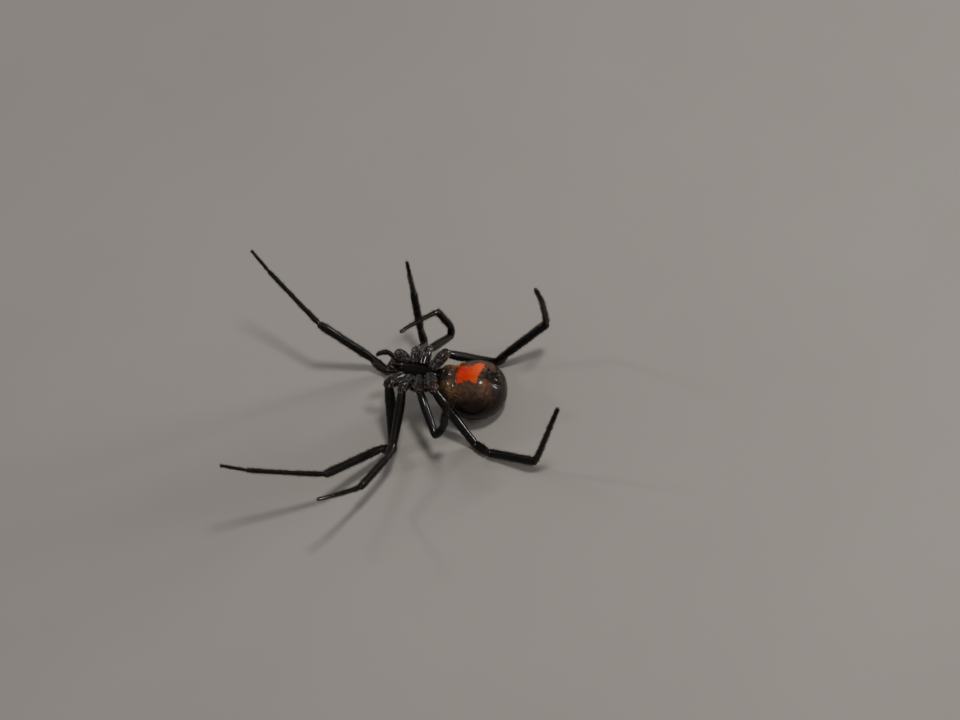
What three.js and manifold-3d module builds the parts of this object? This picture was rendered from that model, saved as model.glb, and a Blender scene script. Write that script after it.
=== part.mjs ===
// A female widow spider, life size, lying belly up in the pose in which it hangs in its web.
// Units are millimetres and degrees. +Z is up, the head points along -X and the spider's left side is +Y.
// It rests on its back: a small flat on the abdomen and one on the knee of each first and fourth leg.
import * as THREE from 'three';
import { mergeVertices } from 'three/addons/utils/BufferGeometryUtils.js';
import Module from 'manifold-3d';

const wasm = await Module();
wasm.setup();

// Driving dimensions
const GAP = 0.25; // between neighbouring nodes
const FLAT_DEPTH = 0.05; // how much the floor flats take off a round back or knee

// The abdomen, an egg with its fuller end behind. Its own frame is x forward, y to the right, z to the belly.
const ABDOMEN = {
  halfLength: 3.1,
  halfWidth: 2.74,
  backDepth: 2.6,
  bellyHeight: 2.56,
  fullness: 0.09,
  squareness: 1.06,
  endPlace: 0.985, // where the egg's last ring closes, as a share of its half length
  centre: [-0.2, 0.32],
  yaw: 9, // the rear end swings to the spider's left
};
const FURROW = { at: 0.38, depth: 0.08, width: 0.1 }; // the groove across the belly, behind its full front
// The full front of the belly, a lobe on either side of the stalk: each lobe's centre forward, aside and up,
// its half sizes, and how widely it rounds into the egg.
const SHOULDER = { along: 1.95, aside: 0.65, height: 1.42, halfSize: [1.02, 1.0, 1.08], round: 0.55 };
const LUNG_COVER = { at: 0.62, aside: 0.95, length: 1.0, width: 0.9, rise: 0.14 };
// The stalk at the waist. rootAlong and rootHeight are shares of the abdomen's half length and belly height.
const PEDICEL = { radius: 0.38, flare: 1.4, overlap: 0.7, height: -0.28, rootAlong: 0.6, rootHeight: 0.45 };

// The spinnerets, in pairs: place along and across the belly, length, base radius and lean.
const SPINNERETS = { along: -2.2, tubercleAlong: -2.62 };
const SPINNERET_PAIRS = [
  { along: 0.16, aside: 0.24, length: 0.62, radius: 0.22, lean: 12 },
  { along: -0.24, aside: 0.2, length: 0.52, radius: 0.18, lean: -16 },
];
const TUBERCLE = { length: 0.42, radius: 0.26 };
// Along a cone from its root: share of its length and share of its radius.
const CONE_PROFILE = [[0, 1], [0.55, 1], [0.85, 0.82], [1, 0.4]];

// The cephalothorax. Its own frame starts at the waist: x forward, y to the right, z to the belly.
const WAIST = [-2.9, 0.2, 4.9];
const PITCH = 5; // head up
// Stations along the carapace: distance forward, half width, height of the rim, depth of the back.
const CARAPACE = [
  [0.05, 0.85, -0.46, 0.34],
  [0.3, 1.25, -0.48, 0.58],
  [0.75, 1.6, -0.5, 0.74],
  [1.4, 1.82, -0.5, 0.8],
  [2.1, 1.78, -0.48, 0.92],
  [2.75, 1.48, -0.44, 1.04],
  [3.3, 1.16, -0.4, 1.08],
  [3.75, 1.0, -0.36, 1.0],
  [4.1, 0.82, -0.32, 0.8],
  [4.25, 0.6, -0.3, 0.56],
];
const CARAPACE_UNDERSIDE = 0.3; // how far it bulges down from its rim
const CARAPACE_CORNERS = { aside: 0.92, back: 0.9 }; // 1 is an ellipse, less is squarer
const FOVEA = { at: 1.5, depth: 0.2, width: 0.42 }; // the dimple in the middle of the back
// Stations along the sternum: distance forward and half width.
const STERNUM = [
  [0.5, 0.2],
  [0.75, 0.34],
  [1.3, 0.58],
  [2.0, 0.76],
  [2.7, 0.82],
  [3.2, 0.72],
  [3.45, 0.54],
];
const STERNUM_LEVEL = { low: -0.62, high: 0.34, crown: 0.22 };
const STERNUM_CORNERS = { aside: 0.7, height: 0.55 };
const LABIUM = { at: 3.55, halfWidth: 0.26, halfLength: 0.2, level: 0.3, rise: 0.16 };
const ENDITE = { root: [3.45, 0.58, 0.16], tip: [4.12, 0.3, 0.34], radius: 0.24, tipRadius: 0.17 };

// Eyes: distance forward, distance aside and radius, front row then back row.
const EYES = [
  [4.27, 0.13, 0.1],
  [4.12, 0.5, 0.09],
  [4.05, 0.17, 0.1],
  [3.86, 0.52, 0.09],
];
const EYE_PROUD = 0.06;

const CHELICERA = { root: [4.18, 0.24, -0.16], tip: [4.5, 0.2, 0.66], radius: 0.25 };
const CHELICERA_PROFILE = [[0, 0.85], [0.4, 1], [0.85, 0.68], [1, 0.4]];
const FANG = { length: 0.34, radius: 0.075, inward: 62, back: 0.06, sides: 6 };
const FANG_PROFILE = [[-0.3, 1], [1, 0.3]];

// A feeler: its joints from the mouthparts out, on the right side, and the radius at each.
const FEELER_JOINTS = [
  [3.9, 0.62, 0.48],
  [4.5, 0.85, 0.8],
  [4.95, 1.0, 1.12],
  [5.42, 0.82, 1.3],
  [5.9, 0.5, 1.22],
];
const FEELER_RADII = [0.2, 0.25, 0.25, 0.25, 0.1];
const FEELER_SWELLING = [0.5, 1.04];

// Legs. Each pair has the lengths of femur, patella, tibia, metatarsus and tarsus, and its radii.
// root and hip are on the body: distance forward, distance aside and height.
const PAIRS = [
  {
    root: [3.12, 0.98, 0.12],
    hip: [4.3, 1.7, 0.1],
    lengths: [6.3, 1.9, 6.1, 7.2, 2.5],
    coxa: 0.5,
    femur: 0.48,
    knee: 0.42,
    tibia: 0.39,
    ankle: 0.28,
  },
  {
    root: [2.44, 1.04, 0.1],
    hip: [2.8, 2.1, 0.2],
    lengths: [5.2, 1.5, 3.8, 4.7, 1.7],
    coxa: 0.45,
    femur: 0.42,
    knee: 0.37,
    tibia: 0.34,
    ankle: 0.26,
  },
  {
    root: [1.76, 1.0, 0.1],
    hip: [1.4, 2.2, 0.35],
    lengths: [4.5, 1.3, 2.6, 3.4, 1.4],
    coxa: 0.43,
    femur: 0.39,
    knee: 0.35,
    tibia: 0.32,
    ankle: 0.26,
  },
  {
    root: [0.85, 0.66, 0.12],
    hip: [-0.15, 2.0, 0.5],
    lengths: [6.45, 1.8, 5.3, 5.9, 1.9],
    coxa: 0.48,
    femur: 0.43,
    knee: 0.42,
    tibia: 0.39,
    ankle: 0.28,
  },
];
const COXA = { back: 0.12, sunk: 0.3 }; // these set its root inside the body
const SWING = { left_3: 0.25, right_3: -0.3 }; // how far ahead of its pair's place a hip is
const TROCHANTER_SHARE = 0.96; // its radius, as a share of the coxa's
const TOE_RADIUS = 0.25; // where the tarsus starts
const TIP_RADIUS = 0.15;

// Along each length from its root: share of its length and share of its radius.
const COXA_PROFILE = [[0, 0.38], [0.42, 0.72], [0.72, 1], [1, 0.95]];
const FEMUR_PROFILE = [[0, 0.84], [0.1, 0.95], [0.28, 1], [0.55, 0.97], [0.8, 0.9], [1, 0.82]];
// How far each pair's femur bows to its back, as a share of its length
const FEMUR_BOWS = [0.02, 0.025, 0.03, 0.03];
const PATELLA_PROFILE = [[0, 0.92], [0.4, 0.96], [1, 0.8]];
const TIBIA_PROFILE = [[0, 0.92], [0.2, 1], [0.6, 0.96], [1, 0.86]];
const METATARSUS_SWELLING = [0.4, 0.95];
const TARSUS_TAPER = [[0.5, 0.88], [0.9, 0.52]];
const TIP_END = 0.5; // the blunt end, as a share of the tip's radius

// The pose: for each length of a leg, its turn outward from straight ahead and its rise.
// KNEEL stands for the rise that lays the knee on the floor.
const KNEEL = 'kneel';
const POSE = {
  left_1: [[23, KNEEL], [23, 38], [0, 53], [33, 27], [33, 44]],
  right_1: [[89, KNEEL], [74, 54], [56, 22], [26, 32], [30, 45]],
  left_2: [[68, -44], [70, 54], [87, 65], [220, 67], [178, 79]],
  right_2: [[88, -25], [87, 0], [67, 2], [83, 46], [63, 39]],
  left_3: [[96, -34], [160, 73], [330, 78], [296, 24], [287, 25]],
  right_3: [[120, -28], [198, 40], [179, 67], [139, 58], [137, 55]],
  left_4: [[133, KNEEL], [178, 46], [157, 29], [227, 68], [259, 82]],
  right_4: [[145, KNEEL], [150, 4], [168, 8], [192, 61], [211, 56]],
};

// How fine the faces are
const LEG_SIDES = 10;
const SMALL_SIDES = 8;
const BODY_SIDES = 24;
const ABDOMEN_RINGS = 18;
const BALL_RINGS = 6;
const SMALL_BALL_RINGS = 5;

const black = { color: 0x0d0c0b, roughness: 0.28, metalness: 0 };
const SHELL = { ...black };
const LEG = { ...black, roughness: 0.32 };
const BELLY = { color: 0x1a0f0a, roughness: 0.25, metalness: 0 };

const radians = THREE.MathUtils.degToRad;
const vector = (list) => new THREE.Vector3(...list);

// Solids

// Joins rings of points, all of one count, into a closed solid with flat ends.
function loft(rings) {
  const count = rings[0].length;
  const points = rings.flat();
  const faces = [];
  for (let ring = 0; ring < rings.length - 1; ring++) {
    for (let i = 0; i < count; i++) {
      const a = ring * count + i;
      const b = ring * count + ((i + 1) % count);
      faces.push(a, b, b + count, a, b + count, a + count);
    }
  }
  for (const [start, order] of [[0, -1], [(rings.length - 1) * count, 1]]) {
    const middle = points.length;
    const ring = points.slice(start, start + count);
    points.push(ring.reduce((sum, p) => sum.add(p), new THREE.Vector3()).divideScalar(count));
    for (let i = 0; i < count; i++) {
      const pair = [start + i, start + ((i + 1) % count)];
      if (order < 0) pair.reverse();
      faces.push(middle, ...pair);
    }
  }
  const solid = solidOf(points.flatMap((p) => p.toArray()), faces);
  if (solid.volume() > 0) return solid;
  return solidOf(points.flatMap((p) => p.toArray()), faces.reverse());
}

function solidOf(positions, faces) {
  return new wasm.Manifold(
    new wasm.Mesh({
      numProp: 3,
      vertProperties: new Float32Array(positions),
      triVerts: new Uint32Array(faces),
    }),
  );
}

function solidOfGeometry(geometry) {
  const bare = geometry.clone();
  bare.deleteAttribute('normal');
  bare.deleteAttribute('uv');
  const merged = mergeVertices(bare);
  return solidOf(merged.attributes.position.array, merged.index.array);
}

function ball(centre, radius, sides = LEG_SIDES, rings = BALL_RINGS) {
  const sphere = new THREE.SphereGeometry(radius, sides, rings);
  return solidOfGeometry(sphere.translate(...centre.toArray()));
}

const smallBall = (centre, radius) => ball(centre, radius, SMALL_SIDES, SMALL_BALL_RINGS);

// The largest closed surface of a solid, with what a cut leaves loose dropped.
function largest(solid) {
  return solid.decompose().sort((a, b) => b.volume() - a.volume())[0];
}

const join = (solids) => solids.reduce((sum, solid) => sum.add(solid));

const FLOOR = { width: 80, thickness: 10 };
const floorBlock = solidOfGeometry(
  new THREE.BoxGeometry(FLOOR.width, FLOOR.width, FLOOR.thickness).translate(0, 0, -FLOOR.thickness / 2),
);

// A profile's shares turned into radii.
const scaled = (profile, radius) => profile.map(([fraction, share]) => [fraction, share * radius]);

// A tube from one point to another, with its radius at chosen fractions of its length.
// A face that is given as a plane cuts its end there.
function tube(from, to, profile, { sides = LEG_SIDES, startPlane, endPlane } = {}) {
  const along = to.clone().sub(from);
  const length = along.length();
  along.normalize();
  const up = Math.abs(along.z) < 0.9 ? new THREE.Vector3(0, 0, 1) : new THREE.Vector3(1, 0, 0);
  const across = up.clone().cross(along).normalize();
  const over = along.clone().cross(across);
  const rings = profile.map(([fraction, radius]) => {
    const centre = from.clone().addScaledVector(along, fraction * length);
    return Array.from({ length: sides }, (_, i) => {
      const angle = (i / sides) * Math.PI * 2;
      return centre
        .clone()
        .addScaledVector(across, Math.cos(angle) * radius)
        .addScaledVector(over, Math.sin(angle) * radius);
    });
  });
  const slide = (ring, plane) =>
    ring.map((p) => p.addScaledVector(along, -plane.distanceToPoint(p) / plane.normal.dot(along)));
  if (startPlane) slide(rings[0], startPlane);
  if (endPlane) slide(rings[rings.length - 1], endPlane);
  return loft(rings);
}

// One tube through several joints, with a ring on the bisector of each bend. stations hold the rings between:
// for each length, the radius at chosen fractions of it, its two ends left to the joints' own radii.
function limb(joints, jointRadii, stations, { sides = LEG_SIDES, startPlane } = {}) {
  const directions = joints.slice(1).map((joint, i) => joint.clone().sub(joints[i]).normalize());
  const up = Math.abs(directions[0].z) < 0.9 ? new THREE.Vector3(0, 0, 1) : new THREE.Vector3(1, 0, 0);
  let across = up.clone().cross(directions[0]).normalize();
  const rings = [];
  const ringAt = (centre, radius, along, plane) => {
    const over = along.clone().cross(across).normalize();
    return Array.from({ length: sides }, (_, i) => {
      const angle = (i / sides) * Math.PI * 2;
      const point = centre
        .clone()
        .addScaledVector(across, Math.cos(angle) * radius)
        .addScaledVector(over, Math.sin(angle) * radius);
      if (!plane) return point;
      return point.addScaledVector(along, -plane.distanceToPoint(point) / plane.normal.dot(along));
    });
  };
  directions.forEach((along, i) => {
    across = across.addScaledVector(along, -across.dot(along)).normalize();
    if (i === 0) rings.push(ringAt(joints[0], jointRadii[0], along, startPlane));
    const span = joints[i + 1].clone().sub(joints[i]);
    for (const [fraction, radius] of stations[i]) {
      rings.push(ringAt(joints[i].clone().addScaledVector(span, fraction), radius, along));
    }
    const next = directions[i + 1];
    const bisector = next && along.clone().add(next).normalize();
    const plane = next && new THREE.Plane().setFromNormalAndCoplanarPoint(bisector, joints[i + 1]);
    rings.push(ringAt(joints[i + 1], jointRadii[i + 1], along, plane));
  });
  return loft(rings);
}

// A tube that bows sideways between its ends, with a ring at each station of its profile.
function bowedTube(from, to, profile, bow) {
  const joints = profile.map(([fraction]) =>
    from.clone().lerp(to, fraction).addScaledVector(bow, 4 * fraction * (1 - fraction)),
  );
  return limb(joints, profile.map(([, radius]) => radius), joints.slice(1).map(() => []));
}

// Cephalothorax

const forward = new THREE.Vector3(-Math.cos(radians(PITCH)), 0, Math.sin(radians(PITCH)));
const rightward = new THREE.Vector3(0, -1, 0);
const bellyward = forward.clone().cross(rightward);
const onBody = new THREE.Matrix4().makeBasis(forward, rightward, bellyward).setPosition(...WAIST);
const bodyPoint = (along, aside, height) => new THREE.Vector3(along, aside, height).applyMatrix4(onBody);

// A power that keeps the sign, for rounded-square sections.
const soften = (value, power) => Math.sign(value) * Math.abs(value) ** power;

function carapaceRing([along, halfWidth, rim, depth], grow) {
  const dimple = FOVEA.depth * Math.exp(-(((along - FOVEA.at) / FOVEA.width) ** 2));
  return Array.from({ length: BODY_SIDES }, (_, i) => {
    const angle = (i / BODY_SIDES) * Math.PI * 2;
    const aside = soften(Math.cos(angle), CARAPACE_CORNERS.aside) * (halfWidth + grow);
    const near = Math.exp(-((aside / FOVEA.width) ** 2));
    const back = depth + grow - dimple * near;
    const up = Math.sin(angle);
    const height = up < 0 ? back * soften(up, CARAPACE_CORNERS.back) : (CARAPACE_UNDERSIDE + grow) * up;
    return bodyPoint(along, aside, rim + height);
  });
}

function carapace(grow = 0) {
  const [first, last] = [CARAPACE[0], CARAPACE[CARAPACE.length - 1]];
  const stations = CARAPACE.map((station) => [...station]);
  stations[0][0] = first[0] - grow;
  stations[stations.length - 1][0] = last[0] + grow;
  return loft(stations.map((station) => carapaceRing(station, grow)));
}

function sternum(grow = 0) {
  const { low, high, crown } = STERNUM_LEVEL;
  const middle = (low + high) / 2;
  const stations = STERNUM.map((station) => [...station]);
  stations[0][0] -= grow;
  stations[stations.length - 1][0] += grow;
  return loft(
    stations.map(([along, halfWidth]) =>
      Array.from({ length: BODY_SIDES }, (_, i) => {
        const angle = (i / BODY_SIDES) * Math.PI * 2;
        const aside = soften(Math.cos(angle), STERNUM_CORNERS.aside) * (halfWidth + grow);
        const swell = crown * (1 - (aside / (halfWidth + grow)) ** 2);
        const reach = (high - low) / 2 + grow + (Math.sin(angle) > 0 ? swell : 0);
        return bodyPoint(along, aside, middle + reach * soften(Math.sin(angle), STERNUM_CORNERS.height));
      }),
    ),
  );
}

function labium() {
  const { at, halfWidth, halfLength, level, rise } = LABIUM;
  const plate = new THREE.SphereGeometry(1, LEG_SIDES, BALL_RINGS).scale(halfLength, halfWidth, rise);
  return solidOfGeometry(plate.translate(at, 0, level).applyMatrix4(onBody));
}

function endite(side, grow = 0) {
  const root = bodyPoint(ENDITE.root[0], side * ENDITE.root[1], ENDITE.root[2]);
  const tip = bodyPoint(ENDITE.tip[0], side * ENDITE.tip[1], ENDITE.tip[2]);
  return join([
    tube(root, tip, [[0, ENDITE.radius + grow], [1, ENDITE.tipRadius + grow]], { sides: SMALL_SIDES }),
    smallBall(tip, ENDITE.tipRadius + grow),
  ]);
}

// The height of the carapace's back at a place, from its stations.
function backAt(along, aside) {
  const next = Math.max(1, CARAPACE.findIndex((station) => station[0] >= along));
  const [a, b] = [CARAPACE[next - 1], CARAPACE[next]];
  const mix = Math.min(1, (along - a[0]) / (b[0] - a[0]));
  const [halfWidth, rim, depth] = [1, 2, 3].map((i) => a[i] + (b[i] - a[i]) * mix);
  return rim - depth * Math.sqrt(Math.max(0, 1 - (aside / halfWidth) ** 2));
}

function eye([along, aside, radius], side) {
  const place = Math.min(along, CARAPACE[CARAPACE.length - 1][0]);
  const height = backAt(place, aside) + radius - EYE_PROUD;
  return smallBall(bodyPoint(along - radius / 2, side * aside, height), radius);
}

function cephalothorax() {
  const sides = [1, -1];
  return join([
    carapace(),
    sternum(),
    labium(),
    ...sides.map((side) => endite(side)),
    ...EYES.flatMap((spec) => sides.map((side) => eye(spec, side))),
  ]);
}

const bodyClearance = join([carapace(GAP), sternum(GAP)]);
const headSolid = largest(cephalothorax());

// Abdomen

const rearward = new THREE.Vector3(Math.cos(radians(ABDOMEN.yaw)), Math.sin(radians(ABDOMEN.yaw)), 0);
const abdomenRight = new THREE.Vector3(rearward.y, -rearward.x, 0);
const abdomenFrame = new THREE.Matrix4()
  .makeBasis(rearward.clone().negate(), abdomenRight, new THREE.Vector3(0, 0, 1))
  .setPosition(...ABDOMEN.centre, ABDOMEN.backDepth - FLAT_DEPTH);

// Moves a point of the egg straight out from the egg's centre, to where one lobe lies if that is further.
function overLobe(point, side, grow) {
  const { along, aside, height, halfSize, round } = SHOULDER;
  const size = new THREE.Vector3(...halfSize).addScalar(grow);
  const centre = new THREE.Vector3(along, side * aside, height).divide(size);
  const reach = point.length();
  const ray = point.clone().divideScalar(reach).divide(size);
  const middle = ray.dot(centre);
  const inside = middle ** 2 - ray.lengthSq() * (centre.lengthSq() - 1);
  if (inside <= 0 || middle <= 0) return point;
  const lobe = (middle + Math.sqrt(inside)) / ray.lengthSq();
  const near = Math.max(0, round - Math.abs(lobe - reach));
  return point.setLength(Math.max(lobe, reach) + near ** 2 / (4 * round));
}

// A point of the abdomen's surface, for an angle round it and a place along it, -1 at the rear to 1 in front.
function abdomenPoint(place, angle, grow = 0) {
  const { halfLength, halfWidth, backDepth, bellyHeight, fullness, squareness } = ABDOMEN;
  const round = Math.sqrt(Math.max(0, 1 - place * place)) ** (1 / squareness);
  const swell = round * (1 - fullness * place);
  const height = Math.sin(angle) < 0 ? backDepth : bellyHeight;
  const aside = Math.cos(angle) * (halfWidth + grow) * swell;
  let level = Math.sin(angle) * (height + grow) * swell;
  if (Math.sin(angle) > 0) {
    const fold = Math.exp(-(((place - FURROW.at) / FURROW.width) ** 2));
    level -= FURROW.depth * fold * Math.sin(angle) ** 2;
  }
  const point = new THREE.Vector3(place * (halfLength + grow), aside, level);
  return overLobe(overLobe(point, 1, grow), -1, grow);
}

function abdomenBody(grow = 0) {
  const rings = [];
  for (let i = 0; i <= ABDOMEN_RINGS; i++) {
    const place = ABDOMEN.endPlace * Math.sin((i / ABDOMEN_RINGS - 0.5) * Math.PI);
    rings.push(
      Array.from({ length: BODY_SIDES }, (_, j) =>
        abdomenPoint(place, (j / BODY_SIDES) * Math.PI * 2, grow).applyMatrix4(abdomenFrame),
      ),
    );
  }
  return loft(rings);
}

// The surface point straight over a place on the belly, and the direction that faces out there.
function bellyAt(along, aside) {
  const place = along / ABDOMEN.halfLength;
  const round = Math.sqrt(1 - place * place) * (1 - ABDOMEN.fullness * place);
  const angle = Math.acos(aside / (ABDOMEN.halfWidth * round));
  const point = abdomenPoint(place, angle);
  const facing = new THREE.Vector3(
    point.x / ABDOMEN.halfLength ** 2,
    point.y / ABDOMEN.halfWidth ** 2,
    point.z / ABDOMEN.bellyHeight ** 2,
  ).normalize();
  return { point, facing };
}

function cone(along, aside, lean, length, radius) {
  const { point, facing } = bellyAt(along, aside);
  facing.applyAxisAngle(new THREE.Vector3(0, 1, 0), radians(-lean));
  const root = point.clone().addScaledVector(facing, -radius).applyMatrix4(abdomenFrame);
  const tip = point.clone().addScaledVector(facing, length).applyMatrix4(abdomenFrame);
  return tube(root, tip, scaled(CONE_PROFILE, radius), { sides: SMALL_SIDES });
}

function spinnerets() {
  const cones = SPINNERET_PAIRS.flatMap(({ along, aside, length, radius, lean }) =>
    [1, -1].map((side) => cone(SPINNERETS.along + along, side * aside, lean, length, radius)),
  );
  cones.push(cone(SPINNERETS.tubercleAlong, 0, 0, TUBERCLE.length, TUBERCLE.radius));
  return cones;
}

function lungCover(side) {
  const { at, aside, length, width, rise } = LUNG_COVER;
  const { point, facing } = bellyAt(at * ABDOMEN.halfLength, side * aside);
  const pad = new THREE.SphereGeometry(1, LEG_SIDES, BALL_RINGS).scale(length / 2, width / 2, rise * 2);
  const turn = new THREE.Quaternion().setFromUnitVectors(new THREE.Vector3(0, 0, 1), facing);
  pad.applyQuaternion(turn).translate(...point.addScaledVector(facing, -rise).toArray());
  return solidOfGeometry(pad.applyMatrix4(abdomenFrame));
}

function pedicel() {
  const { radius, flare, overlap, height, rootAlong, rootHeight } = PEDICEL;
  const bend = bodyPoint(CARAPACE[0][0] - overlap, 0, height);
  const end = bodyPoint(CARAPACE[0][0] + overlap, 0, height);
  const root = new THREE.Vector3(ABDOMEN.halfLength * rootAlong, 0, ABDOMEN.bellyHeight * rootHeight);
  return join([
    tube(bend, end, [[0, radius], [1, radius]]),
    tube(root.applyMatrix4(abdomenFrame), bend, [[0, radius * flare], [1, radius]]),
    ball(bend, radius),
  ]);
}

const waist = pedicel().subtract(bodyClearance);
const abdomenSolid = largest(
  join([abdomenBody(), largest(waist), ...spinnerets(), lungCover(1), lungCover(-1)])
    .subtract(bodyClearance)
    .subtract(floorBlock),
);
const abdomenClearance = abdomenBody(GAP);

// Mouthparts

const headClearance = join([bodyClearance, endite(1, GAP), endite(-1, GAP)]);

function chelicera(side) {
  const place = ([along, aside, height]) => bodyPoint(along, side * aside, height);
  const root = place(CHELICERA.root);
  const tip = place(CHELICERA.tip);
  const inward = radians(FANG.inward);
  const reach = bodyPoint(
    CHELICERA.tip[0] - FANG.back,
    side * (CHELICERA.tip[1] - FANG.length * Math.cos(inward)),
    CHELICERA.tip[2] + FANG.length * Math.sin(inward),
  );
  return largest(
    join([
      tube(root, tip, scaled(CHELICERA_PROFILE, CHELICERA.radius), { sides: SMALL_SIDES }),
      tube(tip, reach, scaled(FANG_PROFILE, FANG.radius), { sides: FANG.sides }),
    ]).subtract(headClearance),
  );
}

function feeler(side) {
  const joints = FEELER_JOINTS.map(([along, aside, height]) => bodyPoint(along, side * aside, height));
  const swellings = FEELER_RADII.slice(1).map((radius) => scaled([FEELER_SWELLING], radius));
  return largest(limb(joints, FEELER_RADII, swellings, { sides: SMALL_SIDES }).subtract(headClearance));
}

// Legs

function direction(side, turn, rise) {
  const heading = radians(180 - turn);
  const level = Math.cos(radians(rise));
  return new THREE.Vector3(
    Math.cos(heading) * level,
    side * Math.sin(heading) * level,
    Math.sin(radians(rise)),
  );
}

// The joints of a leg: hip, knee, patella's end, tibia's end, metatarsus' end and tip.
function legJoints(name, pair, side) {
  const spec = PAIRS[pair];
  const right = -side;
  const joints = [bodyPoint(spec.hip[0] + (SWING[name] ?? 0), right * spec.hip[1], spec.hip[2])];
  POSE[name].forEach(([turn, rise], i) => {
    const from = joints[i];
    const length = spec.lengths[i];
    const kneel = THREE.MathUtils.radToDeg(Math.asin((spec.knee - FLAT_DEPTH - from.z) / length));
    joints.push(from.clone().addScaledVector(direction(side, turn, rise === KNEEL ? kneel : rise), length));
  });
  return joints;
}

// The planes on either side of a joint, half a gap from it, square to the leg's bend.
function parting(before, joint, after) {
  const normal = joint.clone().sub(before).normalize();
  normal.add(after.clone().sub(joint).normalize()).normalize();
  const plane = (offset) =>
    new THREE.Plane().setFromNormalAndCoplanarPoint(normal, joint.clone().addScaledVector(normal, offset));
  return { nearPlane: plane(-GAP / 2), farPlane: plane(GAP / 2) };
}

function legSolids(name, pair, side) {
  const spec = PAIRS[pair];
  const [hip, knee, shin, ankle, toe, tip] = legJoints(name, pair, side);
  const root = bodyPoint(spec.root[0] - COXA.back, -side * (spec.root[1] - COXA.sunk), spec.root[2]);
  const atShin = parting(knee, shin, ankle);
  const atAnkle = parting(shin, ankle, toe);
  const thigh = knee.clone().sub(hip);
  const back = knee.clone().sub(shin).projectOnPlane(thigh.clone().normalize()).normalize();
  const bow = back.multiplyScalar(FEMUR_BOWS[pair] * thigh.length());
  const upper = join([
    tube(root, hip, scaled(COXA_PROFILE, spec.coxa)),
    smallBall(hip, spec.coxa * TROCHANTER_SHARE),
    bowedTube(hip, knee, scaled(FEMUR_PROFILE, spec.femur), bow),
    ball(knee, spec.knee),
    tube(knee, shin, scaled(PATELLA_PROFILE, spec.knee), { endPlane: atShin.nearPlane }),
  ])
    .subtract(bodyClearance)
    .subtract(floorBlock);
  const middle = tube(shin, ankle, scaled(TIBIA_PROFILE, spec.tibia), {
    startPlane: atShin.farPlane,
    endPlane: atAnkle.nearPlane,
  });
  const lower = limb(
    [ankle, toe, tip],
    [spec.ankle, TOE_RADIUS, TIP_RADIUS * TIP_END],
    [scaled([METATARSUS_SWELLING], spec.ankle), scaled(TARSUS_TAPER, TOE_RADIUS)],
    { sides: SMALL_SIDES, startPlane: atAnkle.farPlane },
  );
  return { femur: largest(upper), tibia: middle, metatarsus: lower };
}

// The spider

const spider = new THREE.Group();

function addNode(name, solid, finish) {
  const { vertProperties, triVerts } = solid.getMesh();
  const geometry = new THREE.BufferGeometry();
  geometry.setAttribute('position', new THREE.Float32BufferAttribute(vertProperties, 3));
  geometry.setIndex([...triVerts]);
  geometry.computeVertexNormals();
  const mesh = new THREE.Mesh(geometry, new THREE.MeshStandardMaterial(finish));
  mesh.name = name;
  spider.add(mesh);
}

addNode('cephalothorax', headSolid, SHELL);
addNode('abdomen', abdomenSolid, BELLY);
for (const [side, right] of [['left', -1], ['right', 1]]) {
  addNode(`chelicera_${side}`, chelicera(right), SHELL);
  addNode(`feeler_${side}`, feeler(right), LEG);
}
for (const [name, side] of [['left', 1], ['right', -1]]) {
  for (let pair = 0; pair < PAIRS.length; pair++) {
    const solids = legSolids(`${name}_${pair + 1}`, pair, side);
    for (const [length, solid] of Object.entries(solids)) {
      const clear = length === 'femur' ? largest(solid.subtract(abdomenClearance)) : solid;
      addNode(`leg_${name}_${pair + 1}_${length}`, clear, LEG);
    }
  }
}

// The group's origin is under the middle of the box that holds the spider, at the floor.
const box = new THREE.Box3().setFromObject(spider);
const middle = box.getCenter(new THREE.Vector3());
spider.position.set(-middle.x, -middle.y, -box.min.z);

export default spider;
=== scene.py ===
from math import acos, asin, cos, degrees, pi, radians, sin, sqrt, tan, tau

import bpy
import numpy as np
from mathutils import Matrix, Vector


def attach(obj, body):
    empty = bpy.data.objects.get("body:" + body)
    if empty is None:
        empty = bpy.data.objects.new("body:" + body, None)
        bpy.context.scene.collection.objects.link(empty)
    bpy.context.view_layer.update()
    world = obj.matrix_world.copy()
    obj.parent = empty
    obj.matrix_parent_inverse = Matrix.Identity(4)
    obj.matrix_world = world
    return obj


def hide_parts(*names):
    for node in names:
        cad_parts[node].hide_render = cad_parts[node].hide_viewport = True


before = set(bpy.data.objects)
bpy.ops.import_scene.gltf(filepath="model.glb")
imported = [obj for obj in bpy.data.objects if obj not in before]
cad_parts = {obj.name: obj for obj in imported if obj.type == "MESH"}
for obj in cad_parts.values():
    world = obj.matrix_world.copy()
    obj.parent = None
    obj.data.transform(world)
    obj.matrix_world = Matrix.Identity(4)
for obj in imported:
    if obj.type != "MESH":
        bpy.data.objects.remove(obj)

MM = 0.001
ROW_ORIGIN = np.array([-5.81, -3.777, 0.0])  # the row's origin in the frame that the sizes below use
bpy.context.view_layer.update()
draw = np.random.default_rng(seed=11)

# Sizes, in the main those of the solids. Coxae, feet, bows and the shoulder's rounding are the skin's own.
ABDOMEN = {"half_length": 3.1, "half_width": 2.74, "back_depth": 2.6, "belly_height": 2.56}
EGG = {"fullness": 0.09, "squareness": 1.06, "yaw": 9}
ABDOMEN_CENTRE = np.array([-0.2, 0.32, 2.55])
SHOULDER = {"centre": np.array([1.95, 0.65, 1.42]), "half_size": np.array([1.02, 1.0, 1.08]), "round": 0.85}
WAIST = np.array([-2.9, 0.2, 4.9])
PITCH = 5  # head up
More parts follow.
